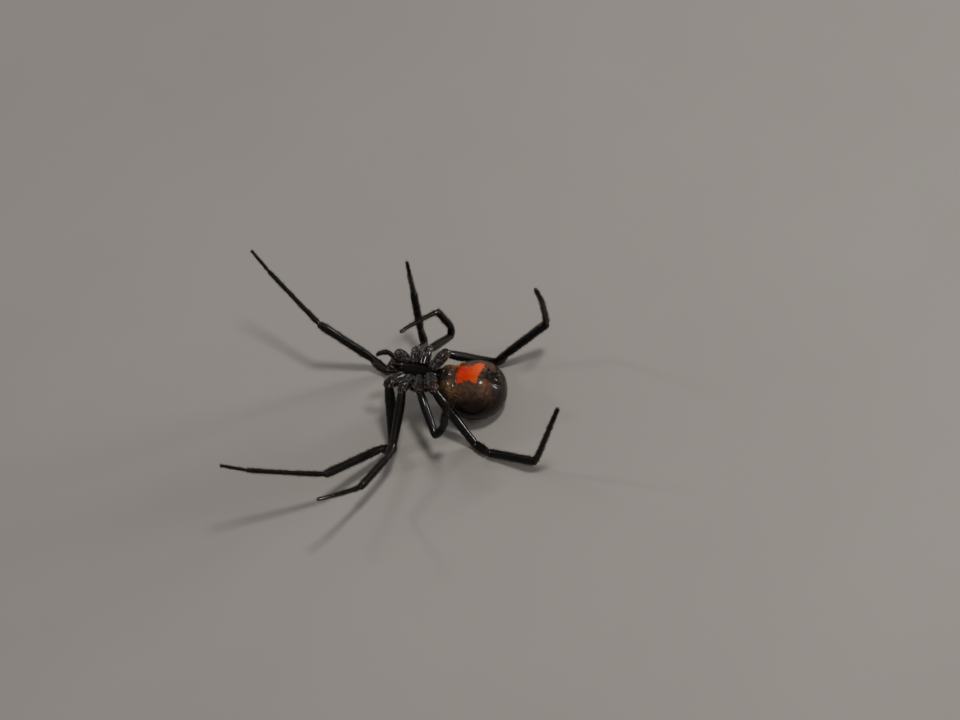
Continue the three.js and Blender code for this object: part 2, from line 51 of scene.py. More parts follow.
# Stations along the carapace: distance forward, half width, height of the rim, depth of the back
CARAPACE = np.array([
    [0.05, 0.85, -0.46, 0.34],
    [0.3, 1.25, -0.48, 0.58],
    [0.75, 1.6, -0.5, 0.74],
    [1.4, 1.82, -0.5, 0.8],
    [2.1, 1.78, -0.48, 0.92],
    [2.75, 1.48, -0.44, 1.04],
    [3.3, 1.16, -0.4, 1.08],
    [3.75, 1.0, -0.36, 1.0],
    [4.1, 0.82, -0.32, 0.8],
    [4.25, 0.66, -0.3, 0.62],
])
CARAPACE_UNDERSIDE = 0.3
CARAPACE_CORNERS = {"aside": 0.92, "back": 0.9}
FOVEA = {"at": 1.5, "depth": 0.2, "width": 0.42}
STERNUM = [[0.5, 0.2], [0.75, 0.34], [1.3, 0.58], [2.0, 0.76], [2.7, 0.82], [3.2, 0.72], [3.45, 0.54]]
STERNUM_LEVEL = {"low": -0.62, "high": 0.34, "crown": 0.22}
ENDITE = {"root": [3.45, 0.58, 0.16], "tip": [4.12, 0.3, 0.34], "radius": 0.22}
CHELICERA = {"root": [4.18, 0.24, -0.16], "tip": [4.5, 0.2, 0.66], "radius": 0.25}
FEELER_JOINTS = [[3.9, 0.62, 0.48], [4.5, 0.85, 0.8], [4.95, 1.0, 1.12], [5.42, 0.82, 1.3], [5.9, 0.5, 1.22]]
FEELER_RADII = [0.2, 0.21, 0.21, 0.2]
SPINNERETS_ALONG = -2.2

# Legs: root and hip on the body, the lengths of femur to tarsus, and the radii along them
PAIRS = [
    {"root": [3.12, 0.98, 0.12], "hip": [4.3, 1.7, 0.1], "lengths": [6.3, 1.9, 6.1, 7.2, 2.5], "bow": 0.02,
     "coxa": 0.56, "femur": 0.48, "knee": 0.42, "tibia": 0.39, "metatarsus": 0.22, "tarsus": 0.13},
    {"root": [2.44, 1.04, 0.1], "hip": [2.8, 2.1, 0.2], "lengths": [5.2, 1.5, 3.8, 4.7, 1.7], "bow": 0.025,
     "coxa": 0.52, "femur": 0.42, "knee": 0.37, "tibia": 0.34, "metatarsus": 0.2, "tarsus": 0.14},
    {"root": [1.76, 1.0, 0.1], "hip": [1.4, 2.2, 0.35], "lengths": [4.5, 1.3, 2.6, 3.4, 1.4], "bow": 0.008,
     "coxa": 0.5, "femur": 0.39, "knee": 0.35, "tibia": 0.32, "metatarsus": 0.2, "tarsus": 0.15},
    {"root": [0.85, 0.66, 0.12], "hip": [-0.15, 2.0, 0.5], "lengths": [6.45, 1.8, 5.3, 5.9, 1.9], "bow": 0.015,
     "coxa": 0.54, "femur": 0.43, "knee": 0.42, "tibia": 0.39, "metatarsus": 0.25, "tarsus": 0.19},
]
COXA = {"back": 0.12, "sunk": 0.3}  # these set its root inside the body
SWING = {"left_3": 0.25, "right_3": -0.3}  # how far ahead of its pair's place a hip is
KNEEL = None  # stands for the rise that lays the knee on the floor
FLAT_DEPTH = 0.05  # how far such a knee is sunk, for its flat
# For each length of a leg, its turn outward from straight ahead and its rise, in degrees
POSE = {
    "left_1": [(23, KNEEL), (23, 38), (0, 53), (33, 27), (33, 44)],
    "right_1": [(89, KNEEL), (74, 54), (56, 22), (26, 32), (30, 45)],
    "left_2": [(68, -44), (70, 54), (87, 65), (220, 67), (178, 79)],
    "right_2": [(88, -25), (87, 0), (67, 2), (83, 46), (63, 39)],
    "left_3": [(96, -34), (160, 73), (330, 78), (296, 24), (287, 25)],
    "right_3": [(120, -28), (198, 40), (179, 67), (139, 58), (137, 55)],
    "left_4": [(133, KNEEL), (178, 46), (157, 29), (227, 68), (259, 82)],
    "right_4": [(145, KNEEL), (150, 4), (168, 8), (192, 61), (211, 56)],
}

# Along each length from its root: share of its length, share of its radius
PROFILES = {
    "coxa": [[0, 0.8], [0.3, 0.92], [0.6, 1.0], [0.85, 0.98], [1, 0.86]],
    "trochanter": [[0, 0.9], [0.5, 1.02], [1, 0.86]],
    "femur": [[0, 0.72], [0.06, 0.86], [0.14, 0.96], [0.3, 1.02], [0.58, 0.97], [0.85, 0.87], [0.95, 0.86],
              [1, 0.8]],
    "patella": [[0, 0.86], [0.2, 0.98], [0.55, 1.0], [0.85, 0.88], [1, 0.8]],
    "tibia": [[0, 0.8], [0.06, 0.9], [0.3, 0.97], [0.7, 0.96], [0.93, 0.98], [1, 0.84]],
    "metatarsus": [[0, 0.9], [0.05, 1.0], [0.3, 0.93], [0.7, 0.84], [0.95, 0.82], [1, 0.74]],
    "tarsus": [[0, 0.96], [0.1, 1.0], [0.5, 0.98], [0.85, 0.9], [1, 0.78]],
    "feeler": [[0, 0.86], [0.15, 0.96], [0.6, 1.04], [0.9, 1.0], [1, 0.82]],
    "feeler_tip": [[0, 0.84], [0.2, 1.0], [0.6, 0.86], [1, 0.5]],
    "endite": [[0, 0.9], [0.4, 1.0], [0.8, 0.92], [1, 0.74]],
    "chelicera": [[0, 0.8], [0.3, 1.02], [0.6, 0.98], [1, 0.66]],
    "stalk": [[0, 1.5], [0.3, 1.2], [0.6, 0.9], [1, 0.95]],
    "cone": [[0, 1.0], [0.35, 0.98], [0.62, 0.86], [0.68, 0.74], [1, 0.6]],
}
BODY_SIDES = 160
LEG_SIDES = 28
SLIM_SIDES = 24
THIN_SIDES = 20
RING_STEP = 0.13  # along a limb
FEWEST_RINGS = 8

# The red hourglass: for each side of the belly, left first, how far its edge is from the middle along it,
# then its ends in front and behind, how far the front one bulges and how far the rear one slants
RED_EDGES = [
    [[-1.75, 0.9], [-1.45, 1.25], [-1.1, 1.38], [-0.75, 1.16], [-0.3, 0.82],
     [0.1, 0.92], [0.5, 1.18], [0.85, 1.3], [1.1, 1.1]],
    [[-1.75, 0.6], [-1.45, 0.92], [-1.1, 1.04], [-0.75, 0.96], [-0.36, 0.78],
     [0.1, 0.86], [0.5, 0.97], [0.85, 0.86], [1.1, 0.6]],
]
RED_ENDS = {"front": 0.8, "bulge": 0.1, "bulge_width": 0.8, "rear": -1.36, "slant": 0.25}


def unit(vector):
    return vector / np.linalg.norm(vector, axis=-1, keepdims=True)


def square_to(axis, vector):
    """The direction of the part of a vector that is square to an axis."""
    return unit(vector - vector.dot(axis) * axis)


def turns_round(count):
    """Angles evenly round a circle."""
    return np.linspace(0, tau, count, endpoint=False)


def through(table, x, column=1):
    """The smooth curve through a table's rows, read at x."""
    table = np.asarray(table, float)
    xs, ys = table[:, 0], table[:, column]
    slopes = np.gradient(ys, xs)
    i = np.clip(np.searchsorted(xs, x) - 1, 0, len(xs) - 2)
    span = xs[i + 1] - xs[i]
    s = (x - xs[i]) / span
    start = (1 + 2 * s) * (1 - s) ** 2 * ys[i] + s * (1 - s) ** 2 * span * slopes[i]
    return start + s * s * (3 - 2 * s) * ys[i + 1] + s * s * (s - 1) * span * slopes[i + 1]


def bump(x, width):
    return np.exp(-((x / width) ** 2))


def soften(value, power):
    return np.sign(value) * np.abs(value) ** power


# Frames of the body

forward = np.array([-cos(radians(PITCH)), 0.0, sin(radians(PITCH))])
rightward = np.array([0.0, -1.0, 0.0])
bellyward = np.cross(forward, rightward)
yaw = radians(EGG["yaw"])
abdomen_axes = np.array([
    [-cos(yaw), -sin(yaw), 0.0],
    [sin(yaw), -cos(yaw), 0.0],
    [0.0, 0.0, 1.0],
])


def body_point(along, aside, height):
    """Of the cephalothorax: x forward from the waist, y to the right, z to the belly."""
    along, aside, height = np.broadcast_arrays(along, aside, height)
    return WAIST + along[..., None] * forward + aside[..., None] * rightward + height[..., None] * bellyward


# Shells: grids of points, a ring at a time

DOME_TURN = radians(86)  # short of a quarter, so that a dome ends in a ring


def domed(rings, start, end, steps=7):
    """Closes a row of rings with domes that stand out from its ends by start and end."""
    def dome(ring, outward, height):
        middle = ring.mean(axis=0)
        turns = np.linspace(0, DOME_TURN, steps + 1)[1:]
        return [middle + (ring - middle) * cos(q) + outward * height * sin(q) for q in turns]

    first = unit(rings[0].mean(axis=0) - rings[1].mean(axis=0))
    last = unit(rings[-1].mean(axis=0) - rings[-2].mean(axis=0))
    before = dome(rings[0], first, start)[::-1]
    return np.array([*before, *rings, *dome(rings[-1], last, end)])


def length_rings(a, b, profile, radius, dorsal, sides, bow, flatten):
    """Rings of one length of a limb, from a to b."""
    span = np.linalg.norm(b - a)
    along = (b - a) / span
    dorsal = square_to(along, dorsal)
    across = np.cross(dorsal, along)
    steps = max(FEWEST_RINGS, int(span / RING_STEP))
    places = (1 - np.cos(np.linspace(0, pi, steps))) / 2
    angles = turns_round(sides)
    around = np.cos(angles)[:, None] * across + flatten * np.sin(angles)[:, None] * dorsal
    widths = through(PROFILES[profile], places) * radius
    middles = a + places[:, None] * (b - a) + (bow * span * np.sin(pi * places))[:, None] * dorsal
    return middles[:, None, :] + widths[:, None, None] * around


def new_mesh(name, points, faces):
    """A smooth mesh in metres and in the row's frame."""
    mesh = bpy.data.meshes.new(name)
    mesh.from_pydata(((points - ROW_ORIGIN) * MM).tolist(), [], faces)
    mesh.polygons.foreach_set("use_smooth", np.ones(len(faces), bool))
    return mesh


def link(name, mesh, materials):
    for material in materials:
        mesh.materials.append(material)
    piece = bpy.data.objects.new(name, mesh)
    bpy.context.collection.objects.link(piece)
    return piece


class Shells:
    """Collects closed shells into one mesh, with what its materials read at each point."""

    def __init__(self):
        self.points, self.faces, self.slots = [], [], []
        self.marks = {"place": [], "tone": [], "hourglass": []}
        self.count = 0

    def add(self, rings, slot, place, tone, hourglass=-1.0):
        rows, sides = rings.shape[:2]
        points = rings.reshape(-1, 3)
        i, j = np.meshgrid(np.arange(rows - 1), np.arange(sides), indexing="ij")
        a = i * sides + j
        b = i * sides + (j + 1) % sides
        quads = np.stack([a, b, b + sides, a + sides], axis=-1).reshape(-1, 4)
        p, q, r = (points[quads[:, k]] - points.mean(axis=0) for k in range(3))
        faces = quads.tolist()
        faces.append(list(range(sides))[::-1])
        faces.append(list(range((rows - 1) * sides, rows * sides)))
        if np.einsum("ij,ij->", p, np.cross(q, r)) < 0:
            faces = [face[::-1] for face in faces]
        self.points.append(points)
        self.faces += [[self.count + corner for corner in face] for face in faces]
        self.slots += [SLOTS[slot]] * len(faces)
        for label, value, size in (("place", place, 3), ("tone", tone, 3), ("hourglass", hourglass, 1)):
            value = np.asarray(value, float)
            full = np.broadcast_to(value, (*rings.shape[:2], size)) if value.ndim < 2 else value
            self.marks[label].append(full.reshape(-1, size))
        self.count += len(points)

    def build(self, name, materials):
        points = np.concatenate(self.points)
        points[:, 2] = np.maximum(points[:, 2], 0.0)
        mesh = new_mesh(name, points, self.faces)
        mesh.polygons.foreach_set("material_index", np.array(self.slots, np.int32))
        place, tone, hourglass = (np.concatenate(mark) for mark in self.marks.values())
        tone = np.hstack([tone, np.ones((len(tone), 1))])
        for label, kind, key, values in (
            ("place", "FLOAT_VECTOR", "vector", place),
            ("tone", "FLOAT_COLOR", "color", tone),
            ("hourglass", "FLOAT", "value", hourglass),
        ):
            layer = mesh.attributes.new(label, kind, "POINT")
            layer.data.foreach_set(key, values.astype(np.float32).ravel())
        return link(name, mesh, materials)


class Coat:
    """Collects bristles into one mesh: bent three-sided spikes, each mapped on its root's place."""

    PATCH = 0.0015  # a bristle's radius on the map
    SUNK = 0.015  # a root's depth in the skin
    CLEARANCE = 0.02  # the least height of a tip or root over the floor
    ELBOW = (0.5, 0.2, 0.75)  # its shares of length, bend and width

    def __init__(self):
        self.rows = []

    def add(self, root, lie, normal, length, width, lift, bend, patch):
        full = (len(root), 1)
        sizes = [np.broadcast_to(np.reshape(v, (-1, 1)), full) for v in (length, width, lift, bend)]
        self.rows.append(np.hstack([root, lie, normal, *sizes, patch]))

    def build(self, name, material):
        rows = np.concatenate(self.rows)
        root, lie, normal, (length, width, lift, bend), patch = (
            rows[:, 0:3], rows[:, 3:6], rows[:, 6:9], rows[:, 9:13].T[..., None], rows[:, 13:15])
        out = unit(lie * np.cos(lift) + normal * np.sin(lift))
        tip = root + out * length - normal * (bend * length)
        keep = (tip[:, 2] > self.CLEARANCE) & (root[:, 2] > self.CLEARANCE)
        root, normal, out, tip, length, width, bend, patch = (
            v[keep] for v in (root, normal, out, tip, length, width, bend, patch))
        at, bent, thick = self.ELBOW
        elbow = root + out * (length * at) - normal * (bend * length * bent)
        side = unit(np.cross(out, normal))
        over = np.cross(side, out)
        turns = [tau * k / 3 for k in range(3)]
        ring = [side * cos(q) + over * sin(q) for q in turns]
        points = np.stack([
            *(root - normal * self.SUNK + width * r for r in ring),
            *(elbow + width * thick * r for r in ring),
            tip,
        ], axis=1)
        flat = [(cos(q), sin(q)) for q in turns]
        spots = np.array([*flat, *(np.array(flat) * -0.6), (0.0, 0.0)]) * self.PATCH
        corners = [[2, 1, 0], *([k, (k + 1) % 3, 3 + (k + 1) % 3, 3 + k] for k in range(3)),
                   *([3 + k, 3 + (k + 1) % 3, 6] for k in range(3))]
        faces = [[7 * n + corner for corner in face] for n in range(len(points)) for face in corners]
        mesh = new_mesh(name, points.reshape(-1, 3), faces)
        where = (patch[:, None, :] + spots).reshape(-1, 2)
        corner_points = np.empty(len(mesh.loops), np.int32)
        mesh.loops.foreach_get("vertex_index", corner_points)
        layer = mesh.uv_layers.new(name="OFBake")
        layer.data.foreach_set("uv", where[corner_points].astype(np.float32).ravel())
        return link(name, mesh, [material])


def sample(rings, row, column, nudge=0.4):
    """Points, directions along and outward normals at fractional rows and columns of a shell."""
    rows, sides = rings.shape[:2]

    def read(row, column):
        row = np.clip(row, 0, rows - 1.001)
        i, j = np.floor(row).astype(int), np.floor(column).astype(int)
        s, t = (row - i)[:, None], (column - j)[:, None]
        near = rings[i, j % sides] * (1 - t) + rings[i, (j + 1) % sides] * t
        far = rings[i + 1, j % sides] * (1 - t) + rings[i + 1, (j + 1) % sides] * t
        return near * (1 - s) + far * s

    point = read(row, column)
    along = unit(read(row + nudge, column) - read(row - nudge, column))
    around = read(row, column + nudge) - read(row, column - nudge)
    normal = unit(np.cross(around, along))
    middle = rings[np.clip(row, 0, rows - 1).astype(int)].mean(axis=1)
    normal *= np.sign(np.einsum("ij,ij->i", normal, point - middle))[:, None]
    return point, along, normal


# Colours of the cuticle, before the fine mottling of each material

BLACK = np.array([0.0026, 0.0023, 0.0022])
RED_BROWN = np.array([0.028, 0.0095, 0.0045])
BROWN = np.array([0.085, 0.046, 0.028])
# a painted sheen: light bronze for glints off the fine hairs of the front flanks
BRONZE_SHEEN = np.array([0.2, 0.11, 0.045])
DEEP_RED = np.array([0.16, 0.03, 0.012])
GREY = np.array([0.11, 0.095, 0.085])
HORN = np.array([0.02, 0.009, 0.005])
FANG_RED = np.array([0.05, 0.012, 0.006])
SLOTS = {"shell": 0, "leg": 1, "abdomen": 2, "membrane": 3}
skin = Shells()


def mix(a, b, share):
    return a + (b - a) * np.asarray(share)[..., None]


def ramp(low, high, x):
    t = np.clip((x - low) / (high - low), 0, 1)
    return t * t * (3 - 2 * t)


# Abdomen, in its own frame: x forward, y to the right, z to the belly

ABDOMEN_ROWS = 150
END_PLACE = 0.9996  # where its last ring is, as a share of its half length
FURROW = {"along": 1.2, "slant": 0.1, "depth": 0.05, "width": 0.12, "ends": (0.8, 1.5)}
# Mounds of lung covers, epigyne and the spinnerets' seat, and the epigyne's pit: rise, then an oval's middle
# forward and aside, half length and half width
MOUNDS = [(0.06, 1.9, 0.95, 0.5, 0.45), (0.08, 1.6, 0, 0.22, 0.34),
          (0.13, SPINNERETS_ALONG - 0.12, 0, 0.62, 0.56)]
PIT = (0.08, 1.55, 0, 0.07, 0.15)
SEAT_MOAT = {"depth": 0.07, "at": 1.25, "width": 0.25}
# Dimples: their places, depth and width
BELLY_DIMPLES = [(0.95, 1.35), (-0.2, 1.0)], 0.03, 0.14
BACK_DIMPLES = [(1.35, 0.5), (0.3, 0.72), (-0.75, 0.66)], 0.045, 0.15
# Brown fades in between these distances aside, at the rear and up, and out between those in front
BROWN_FADES = (2.85, 1.65), (-2.9, -1.7), (-0.2, 1.9), (1.4, 2.6)
# Of these, the third makes the left flank's brown fade sooner: painted shade, for light that falls from the
# right
BROWN_LEAST, FRONT_LOSS, LEFT_FLANK_PAINTED_SHADE, BLACK_SHARE = 0.06, 0.7, 0.45, 0.85
# Spots of colour, the bronze ones a painted sheen for glints off fine hairs: the middle forward, aside and up,
# the reach and the strength
BRONZE_SHEEN_SPOTS = [(1.3, 1.35, 1.9, 0.5, 0.4), (2.1, 1.0, 2.2, 0.5, 0.2)]
RED_SPOT = (-1.95, 0.85, 1.75, 0.28, 0.85)


def over_lobe(p, side):
    """Moves points of the egg straight out from its centre, to where one lobe of its full front lies."""
    size, middle = SHOULDER["half_size"], SHOULDER["centre"] * (1, side, 1) / SHOULDER["half_size"]
    reach = np.linalg.norm(p, axis=-1)
    ray = p / reach[..., None] / size
    facing, steep = ray @ middle, (ray ** 2).sum(axis=-1)
    inside = facing ** 2 - steep * (middle @ middle - 1)
    hit = (inside > 0) & (facing > 0)
    lobe = np.where(hit, (facing + np.sqrt(np.where(hit, inside, 0))) / steep, 0)
    near = np.maximum(0, SHOULDER["round"] - np.abs(lobe - reach))
    further = np.maximum(lobe, reach) + np.where(hit, near ** 2 / (4 * SHOULDER["round"]), 0)
    return p * (further / reach)[..., None]


def abdomen_place(place, angle):
    """The smooth egg with its shoulder."""
    swell = np.maximum(0, 1 - place ** 2) ** (0.5 / EGG["squareness"])
    swell = swell * (1 - EGG["fullness"] * place)
    up = np.sin(angle)
    depth = np.where(up < 0, ABDOMEN["back_depth"], ABDOMEN["belly_height"])
    aside = np.cos(angle) * ABDOMEN["half_width"] * swell
    egg = np.stack(np.broadcast_arrays(place * ABDOMEN["half_length"], aside, up * depth * swell), axis=-1)
    return over_lobe(over_lobe(egg, 1), -1)


def oval(x, y, middle_x, middle_y, half_length, half_width):
    """0 in the oval's middle, 1 on its rim, and more outside."""
    return ((x - middle_x) / half_length) ** 2 + ((y - middle_y) / half_width) ** 2


def dimples(x, y, places, depth, width):
    return sum(-depth * bump(np.hypot(x - along, y - aside), width) for along, aside in places)


def abdomen_relief(p):
    """How far the surface stands off the smooth egg."""
    x, y, z = p[..., 0], np.abs(p[..., 1]), p[..., 2]
    furrow = bump(x - FURROW["along"] + FURROW["slant"] * y, FURROW["width"])
    rise = -FURROW["depth"] * furrow * (1 - ramp(*FURROW["ends"], y))
    for height, *place in MOUNDS:
        rise += height * np.exp(-oval(x, y, *place) ** 2)
    rise -= PIT[0] * np.exp(-oval(x, y, *PIT[1:]))
    edge = np.sqrt(oval(x, y, *MOUNDS[-1][1:]))
    rise -= SEAT_MOAT["depth"] * bump(edge - SEAT_MOAT["at"], SEAT_MOAT["width"])
    rise += dimples(x, y, *BELLY_DIMPLES)
    return rise * ramp(0.2, 1.0, z) + dimples(x, y, *BACK_DIMPLES) * ramp(-0.2, -1.0, z)


def spot(x, y, z, along, aside, up, reach, strength):
    return strength * bump(np.hypot(np.hypot(x - along, y - aside), z - up), reach)


def abdomen_tone(p):
    """Black on the back and round the rim, warm brown on the belly, and red beside the spinnerets."""
    x, y, z = p[..., 0], np.abs(p[..., 1]), p[..., 2]
    aside, rear, up, front = BROWN_FADES
    # painted shade: the brown fades sooner on the left flank than on the right
    middle = ramp(*aside, y + np.where(p[..., 1] < 0, LEFT_FLANK_PAINTED_SHADE, 0)) * ramp(*rear, x)
    middle *= 1 - FRONT_LOSS * ramp(*front, x)
    tone = mix(BLACK, BROWN, BROWN_LEAST + (1 - BROWN_LEAST) * ramp(*up, z) * middle)
    by_stalk = ramp(1.1, 1.9, x) * ramp(1.3, 0.4, y)
    tone = mix(tone, BLACK, BLACK_SHARE * by_stalk)
    # painted sheen: bronze spots on the front flanks, where fine hairs glint
    for sheen in BRONZE_SHEEN_SPOTS:
        tone = mix(tone, BRONZE_SHEEN, spot(x, y, z, *sheen))
    by_spinnerets = bump(np.hypot(x - SPINNERETS_ALONG + 0.1, 0.8 * y), 0.55) * ramp(0.5, 1.0, z)
    tone = mix(tone, BLACK, BLACK_SHARE * by_spinnerets)
    return mix(tone, DEEP_RED, spot(x, y, z, *RED_SPOT))


def hourglass_distance(p):
    """How deep a place lies inside the hourglass, negative outside it."""
    x, y = p[..., 0], p[..., 1]
    reach = np.clip(x, RED_EDGES[0][0][0], RED_EDGES[0][-1][0])
    left, right = (through(edge, reach) for edge in RED_EDGES)
    aside = np.where(y < 0, left + y, right - y)
    front = RED_ENDS["front"] + RED_ENDS["bulge"] * bump(y, RED_ENDS["bulge_width"]) - x
    rear = x - RED_ENDS["rear"] - RED_ENDS["slant"] * y
    inside = np.minimum(np.minimum(aside, front), rear)
    return np.where(p[..., 2] > 0, inside, -1.0)


def abdomen_point(p):
    return ABDOMEN_CENTRE + p @ abdomen_axes


def raised(p):
    facing = unit(p / np.array([ABDOMEN["half_length"], ABDOMEN["half_width"], ABDOMEN["belly_height"]]) ** 2)
    return p + facing * abdomen_relief(p)[..., None], facing


def add_abdomen():
    turns = np.linspace(-0.5, 0.5, ABDOMEN_ROWS) * pi
    smooth = abdomen_place(END_PLACE * np.sin(turns)[:, None], turns_round(BODY_SIDES)[None, :])
    place, _ = raised(smooth)
    rings = abdomen_point(place)
    skin.add(rings, "abdomen", place, abdomen_tone(smooth), hourglass_distance(smooth)[..., None])
    return rings


def on_belly(along, aside):
    """A point of the belly and the way it faces."""
    place = along / ABDOMEN["half_length"]
    reach = sqrt(1 - place ** 2) * (1 - EGG["fullness"] * place)
    return raised(abdomen_place(np.array(place), np.array(acos(aside / (ABDOMEN["half_width"] * reach)))))


SPINNERETS = [
    {"along": 0.18, "aside": 0.25, "length": 0.66, "radius": 0.22, "lean": 14, "inward": 8},
    {"along": -0.24, "aside": 0.21, "length": 0.54, "radius": 0.17, "lean": -18, "inward": 6},
    {"along": -0.04, "aside": 0.09, "length": 0.34, "radius": 0.08, "lean": -4, "inward": 0},
]
TUBERCLE = {"along": -2.62, "length": 0.42, "radius": 0.26, "end": 0.7}
CONE = {"joint": 0.6, "tip": 0.94, "end_radius": 0.66, "overlap": 0.08}  # the overlap in mm, the others shares
CONE_DORSAL = np.array([0.2, 1.0, 0.1])


def add_cone(along, aside, length, radius, lean, inward):
    """A spinneret: a base length and a shorter, narrower one on it."""
    point, facing = on_belly(along, aside)
    tilt, swing = radians(lean), radians(inward) * np.sign(aside)
    facing = facing + tan(tilt) * np.array([1.0, 0, 0]) - tan(swing) * np.array([0, 1.0, 0])
    out = unit(unit(facing) @ abdomen_axes)
    root = abdomen_point(point) - out * radius
    joint = root + out * (radius + length * CONE["joint"])
    tip = root + out * (radius + length * CONE["tip"])
    tone = mix(BLACK, GREY, 0.4)
    for a, b, profile, size in (
        (root, joint, "cone", radius),
        (joint - out * CONE["overlap"], tip, "tarsus", radius * CONE["end_radius"]),
    ):
        add_length(a, b, profile, size, CONE_DORSAL, (0.03, 0.4), "abdomen", tone, sides=THIN_SIDES)
    return tip, out


def add_spinnerets():
    ends = []
    for spec in SPINNERETS:
        for side in (1, -1):
            place = {"along": SPINNERETS_ALONG + spec["along"], "aside": side * spec["aside"]}
            ends.append(add_cone(**{**spec, **place}))
    point, facing = on_belly(TUBERCLE["along"], 0)
    out = unit(facing @ abdomen_axes)
    root = abdomen_point(point) - out * TUBERCLE["radius"]
    tip = root + out * (TUBERCLE["radius"] + TUBERCLE["length"] * TUBERCLE["end"])
    add_length(root, tip, "cone", TUBERCLE["radius"], CONE_DORSAL, (0.03, 0.5), "abdomen",
               mix(BLACK, BROWN, 0.4), sides=THIN_SIDES)
    return ends


# Limbs

coats = {label: Coat() for label in ("left", "right", "body", "coxae", "abdomen", "glinting")}
tiles = {"left": 0, "right": 0, "body": 0, "coxae": 0}
TILES_ACROSS = 6
TEXTURE_SHIFTS = 97  # a length's texture is shifted by its place in the mesh, up to this
END_RED = {"share": 0.6, "reach": 0.16}

HIP_TONE, LEG_TONE = mix(BLACK, GREY, 0.12), mix(BLACK, GREY, 0.04)
FOOT_TONE = mix(BLACK, RED_BROWN, 0.2)
# For each length of a leg: how far its ends dome out, as shares of its radius, its sides and bow,
# and its bristles' number to a millimetre, length, lift in degrees and width
LEG_LENGTHS = {
    "coxa": ((0.2, 0.4), LEG_SIDES, 0.0, (70, 0.2, 34, 0.016)),
    "trochanter": ((0.6, 0.4), SLIM_SIDES, 0.0, (60, 0.2, 34, 0.016)),
    "femur": ((0.25, 0.62), LEG_SIDES, None, (85, 0.2, 30, 0.011)),
    "patella": ((0.75, 0.5), LEG_SIDES, 0.02, (95, 0.25, 38, 0.011)),
    "tibia": ((0.5, 0.5), LEG_SIDES, 0.0, (130, 0.3, 42, 0.011)),
    "metatarsus": ((0.5, 0.5), SLIM_SIDES, 0.006, (140, 0.28, 42, 0.011)),
    "tarsus": ((0.5, 0.7), THIN_SIDES, 0.0, (170, 0.24, 40, 0.009)),
}
# Distances from the hip along the femur, and the radius as a share of the coxa's
TROCHANTER = {"start": 0.12, "end": 0.34, "lap": 0.08, "radius": 0.88}
STRAIGHT_LEAN = 0.05  # turns the outer side of a nearly straight joint towards the knee's
MEMBRANES = {"knee": 0.8, "tibia": 0.78, "metatarsus": 0.85, "tarsus": 0.9}  # shares of these radii


def add_length(a, b, profile, radius, dorsal, domes, slot, tone, bristly=None, sides=LEG_SIDES, bow=0.0,
               flatten=1.0):
    """One length of a limb. domes are how far its ends stand out, as shares of the radius."""
    rings = length_rings(a, b, profile, radius, dorsal, sides, bow, flatten)
    closed = domed(rings, domes[0] * radius, domes[1] * radius)
    along = unit(b - a)
    back = square_to(along, dorsal)
    axes = np.array([along, np.cross(back, along), back])
    place = (closed - a) @ axes.T
    span = np.linalg.norm(b - a)
    to_end = np.minimum(place[..., 0], span - place[..., 0])
    red = END_RED["share"] * np.exp(-np.maximum(0, to_end) / END_RED["reach"])
    colours = mix(tone, RED_BROWN, red) if bristly else tone
    skin.add(closed, slot, place + skin.count % TEXTURE_SHIFTS, colours)
    if bristly:
        add_bristles(rings, span, *bristly)


def tile_patch(coat, u, v):
    """Places in the next tile of the coat's map."""
    corner = np.array([tiles[coat] % TILES_ACROSS, tiles[coat] // TILES_ACROSS])
    tiles[coat] += 1
    return (corner + 0.1 + 0.8 * np.stack([u, v], axis=-1)) / TILES_ACROSS


def add_bristles(rings, span, coat, per_mm, length, lift, width):
    """Short bristles that point to the limb's tip, evenly over one length of it."""
    rows, sides = rings.shape[:2]
    count = int(per_mm * span)
    share = draw.uniform(0.03, 0.99, count)
    column = draw.uniform(0, sides, count)
    point, along, normal = sample(rings, np.arccos(1 - 2 * share) / pi * (rows - 1), column)
    around = np.cross(normal, along)
    lie = unit(along + around * draw.normal(0, 0.18, count)[:, None])
    patch = tile_patch(coat, share, column / sides)
    sizes = length * draw.uniform(0.6, 1.25, count)
    slant = np.radians(lift * draw.uniform(0.75, 1.25, count))
    widths = width * draw.uniform(0.75, 1.1, count)
    coats[coat].add(point, lie, normal, sizes, widths, slant, 0.12, patch)


def direction(side, turn, rise):
    heading, lift = radians(180 - turn), radians(rise)
    level = cos(lift)
    return np.array([cos(heading) * level, side * sin(heading) * level, sin(lift)])


def leg_joints(name, spec, side):
    """Hip, knee, patella's end, tibia's end, metatarsus' end and tip."""
    joints = [body_point(spec["hip"][0] + SWING.get(name, 0), -side * spec["hip"][1], spec["hip"][2])]
    for (turn, rise), length in zip(POSE[name], spec["lengths"]):
        if rise is KNEEL:
            rise = degrees(asin((spec["knee"] - FLAT_DEPTH - joints[-1][2]) / length))
        joints.append(joints[-1] + direction(side, turn, rise) * length)
    return joints


def dorsal_at(before, joint, after):
    """The way a joint's outer side faces."""
    return unit(joint - before) - unit(after - joint)


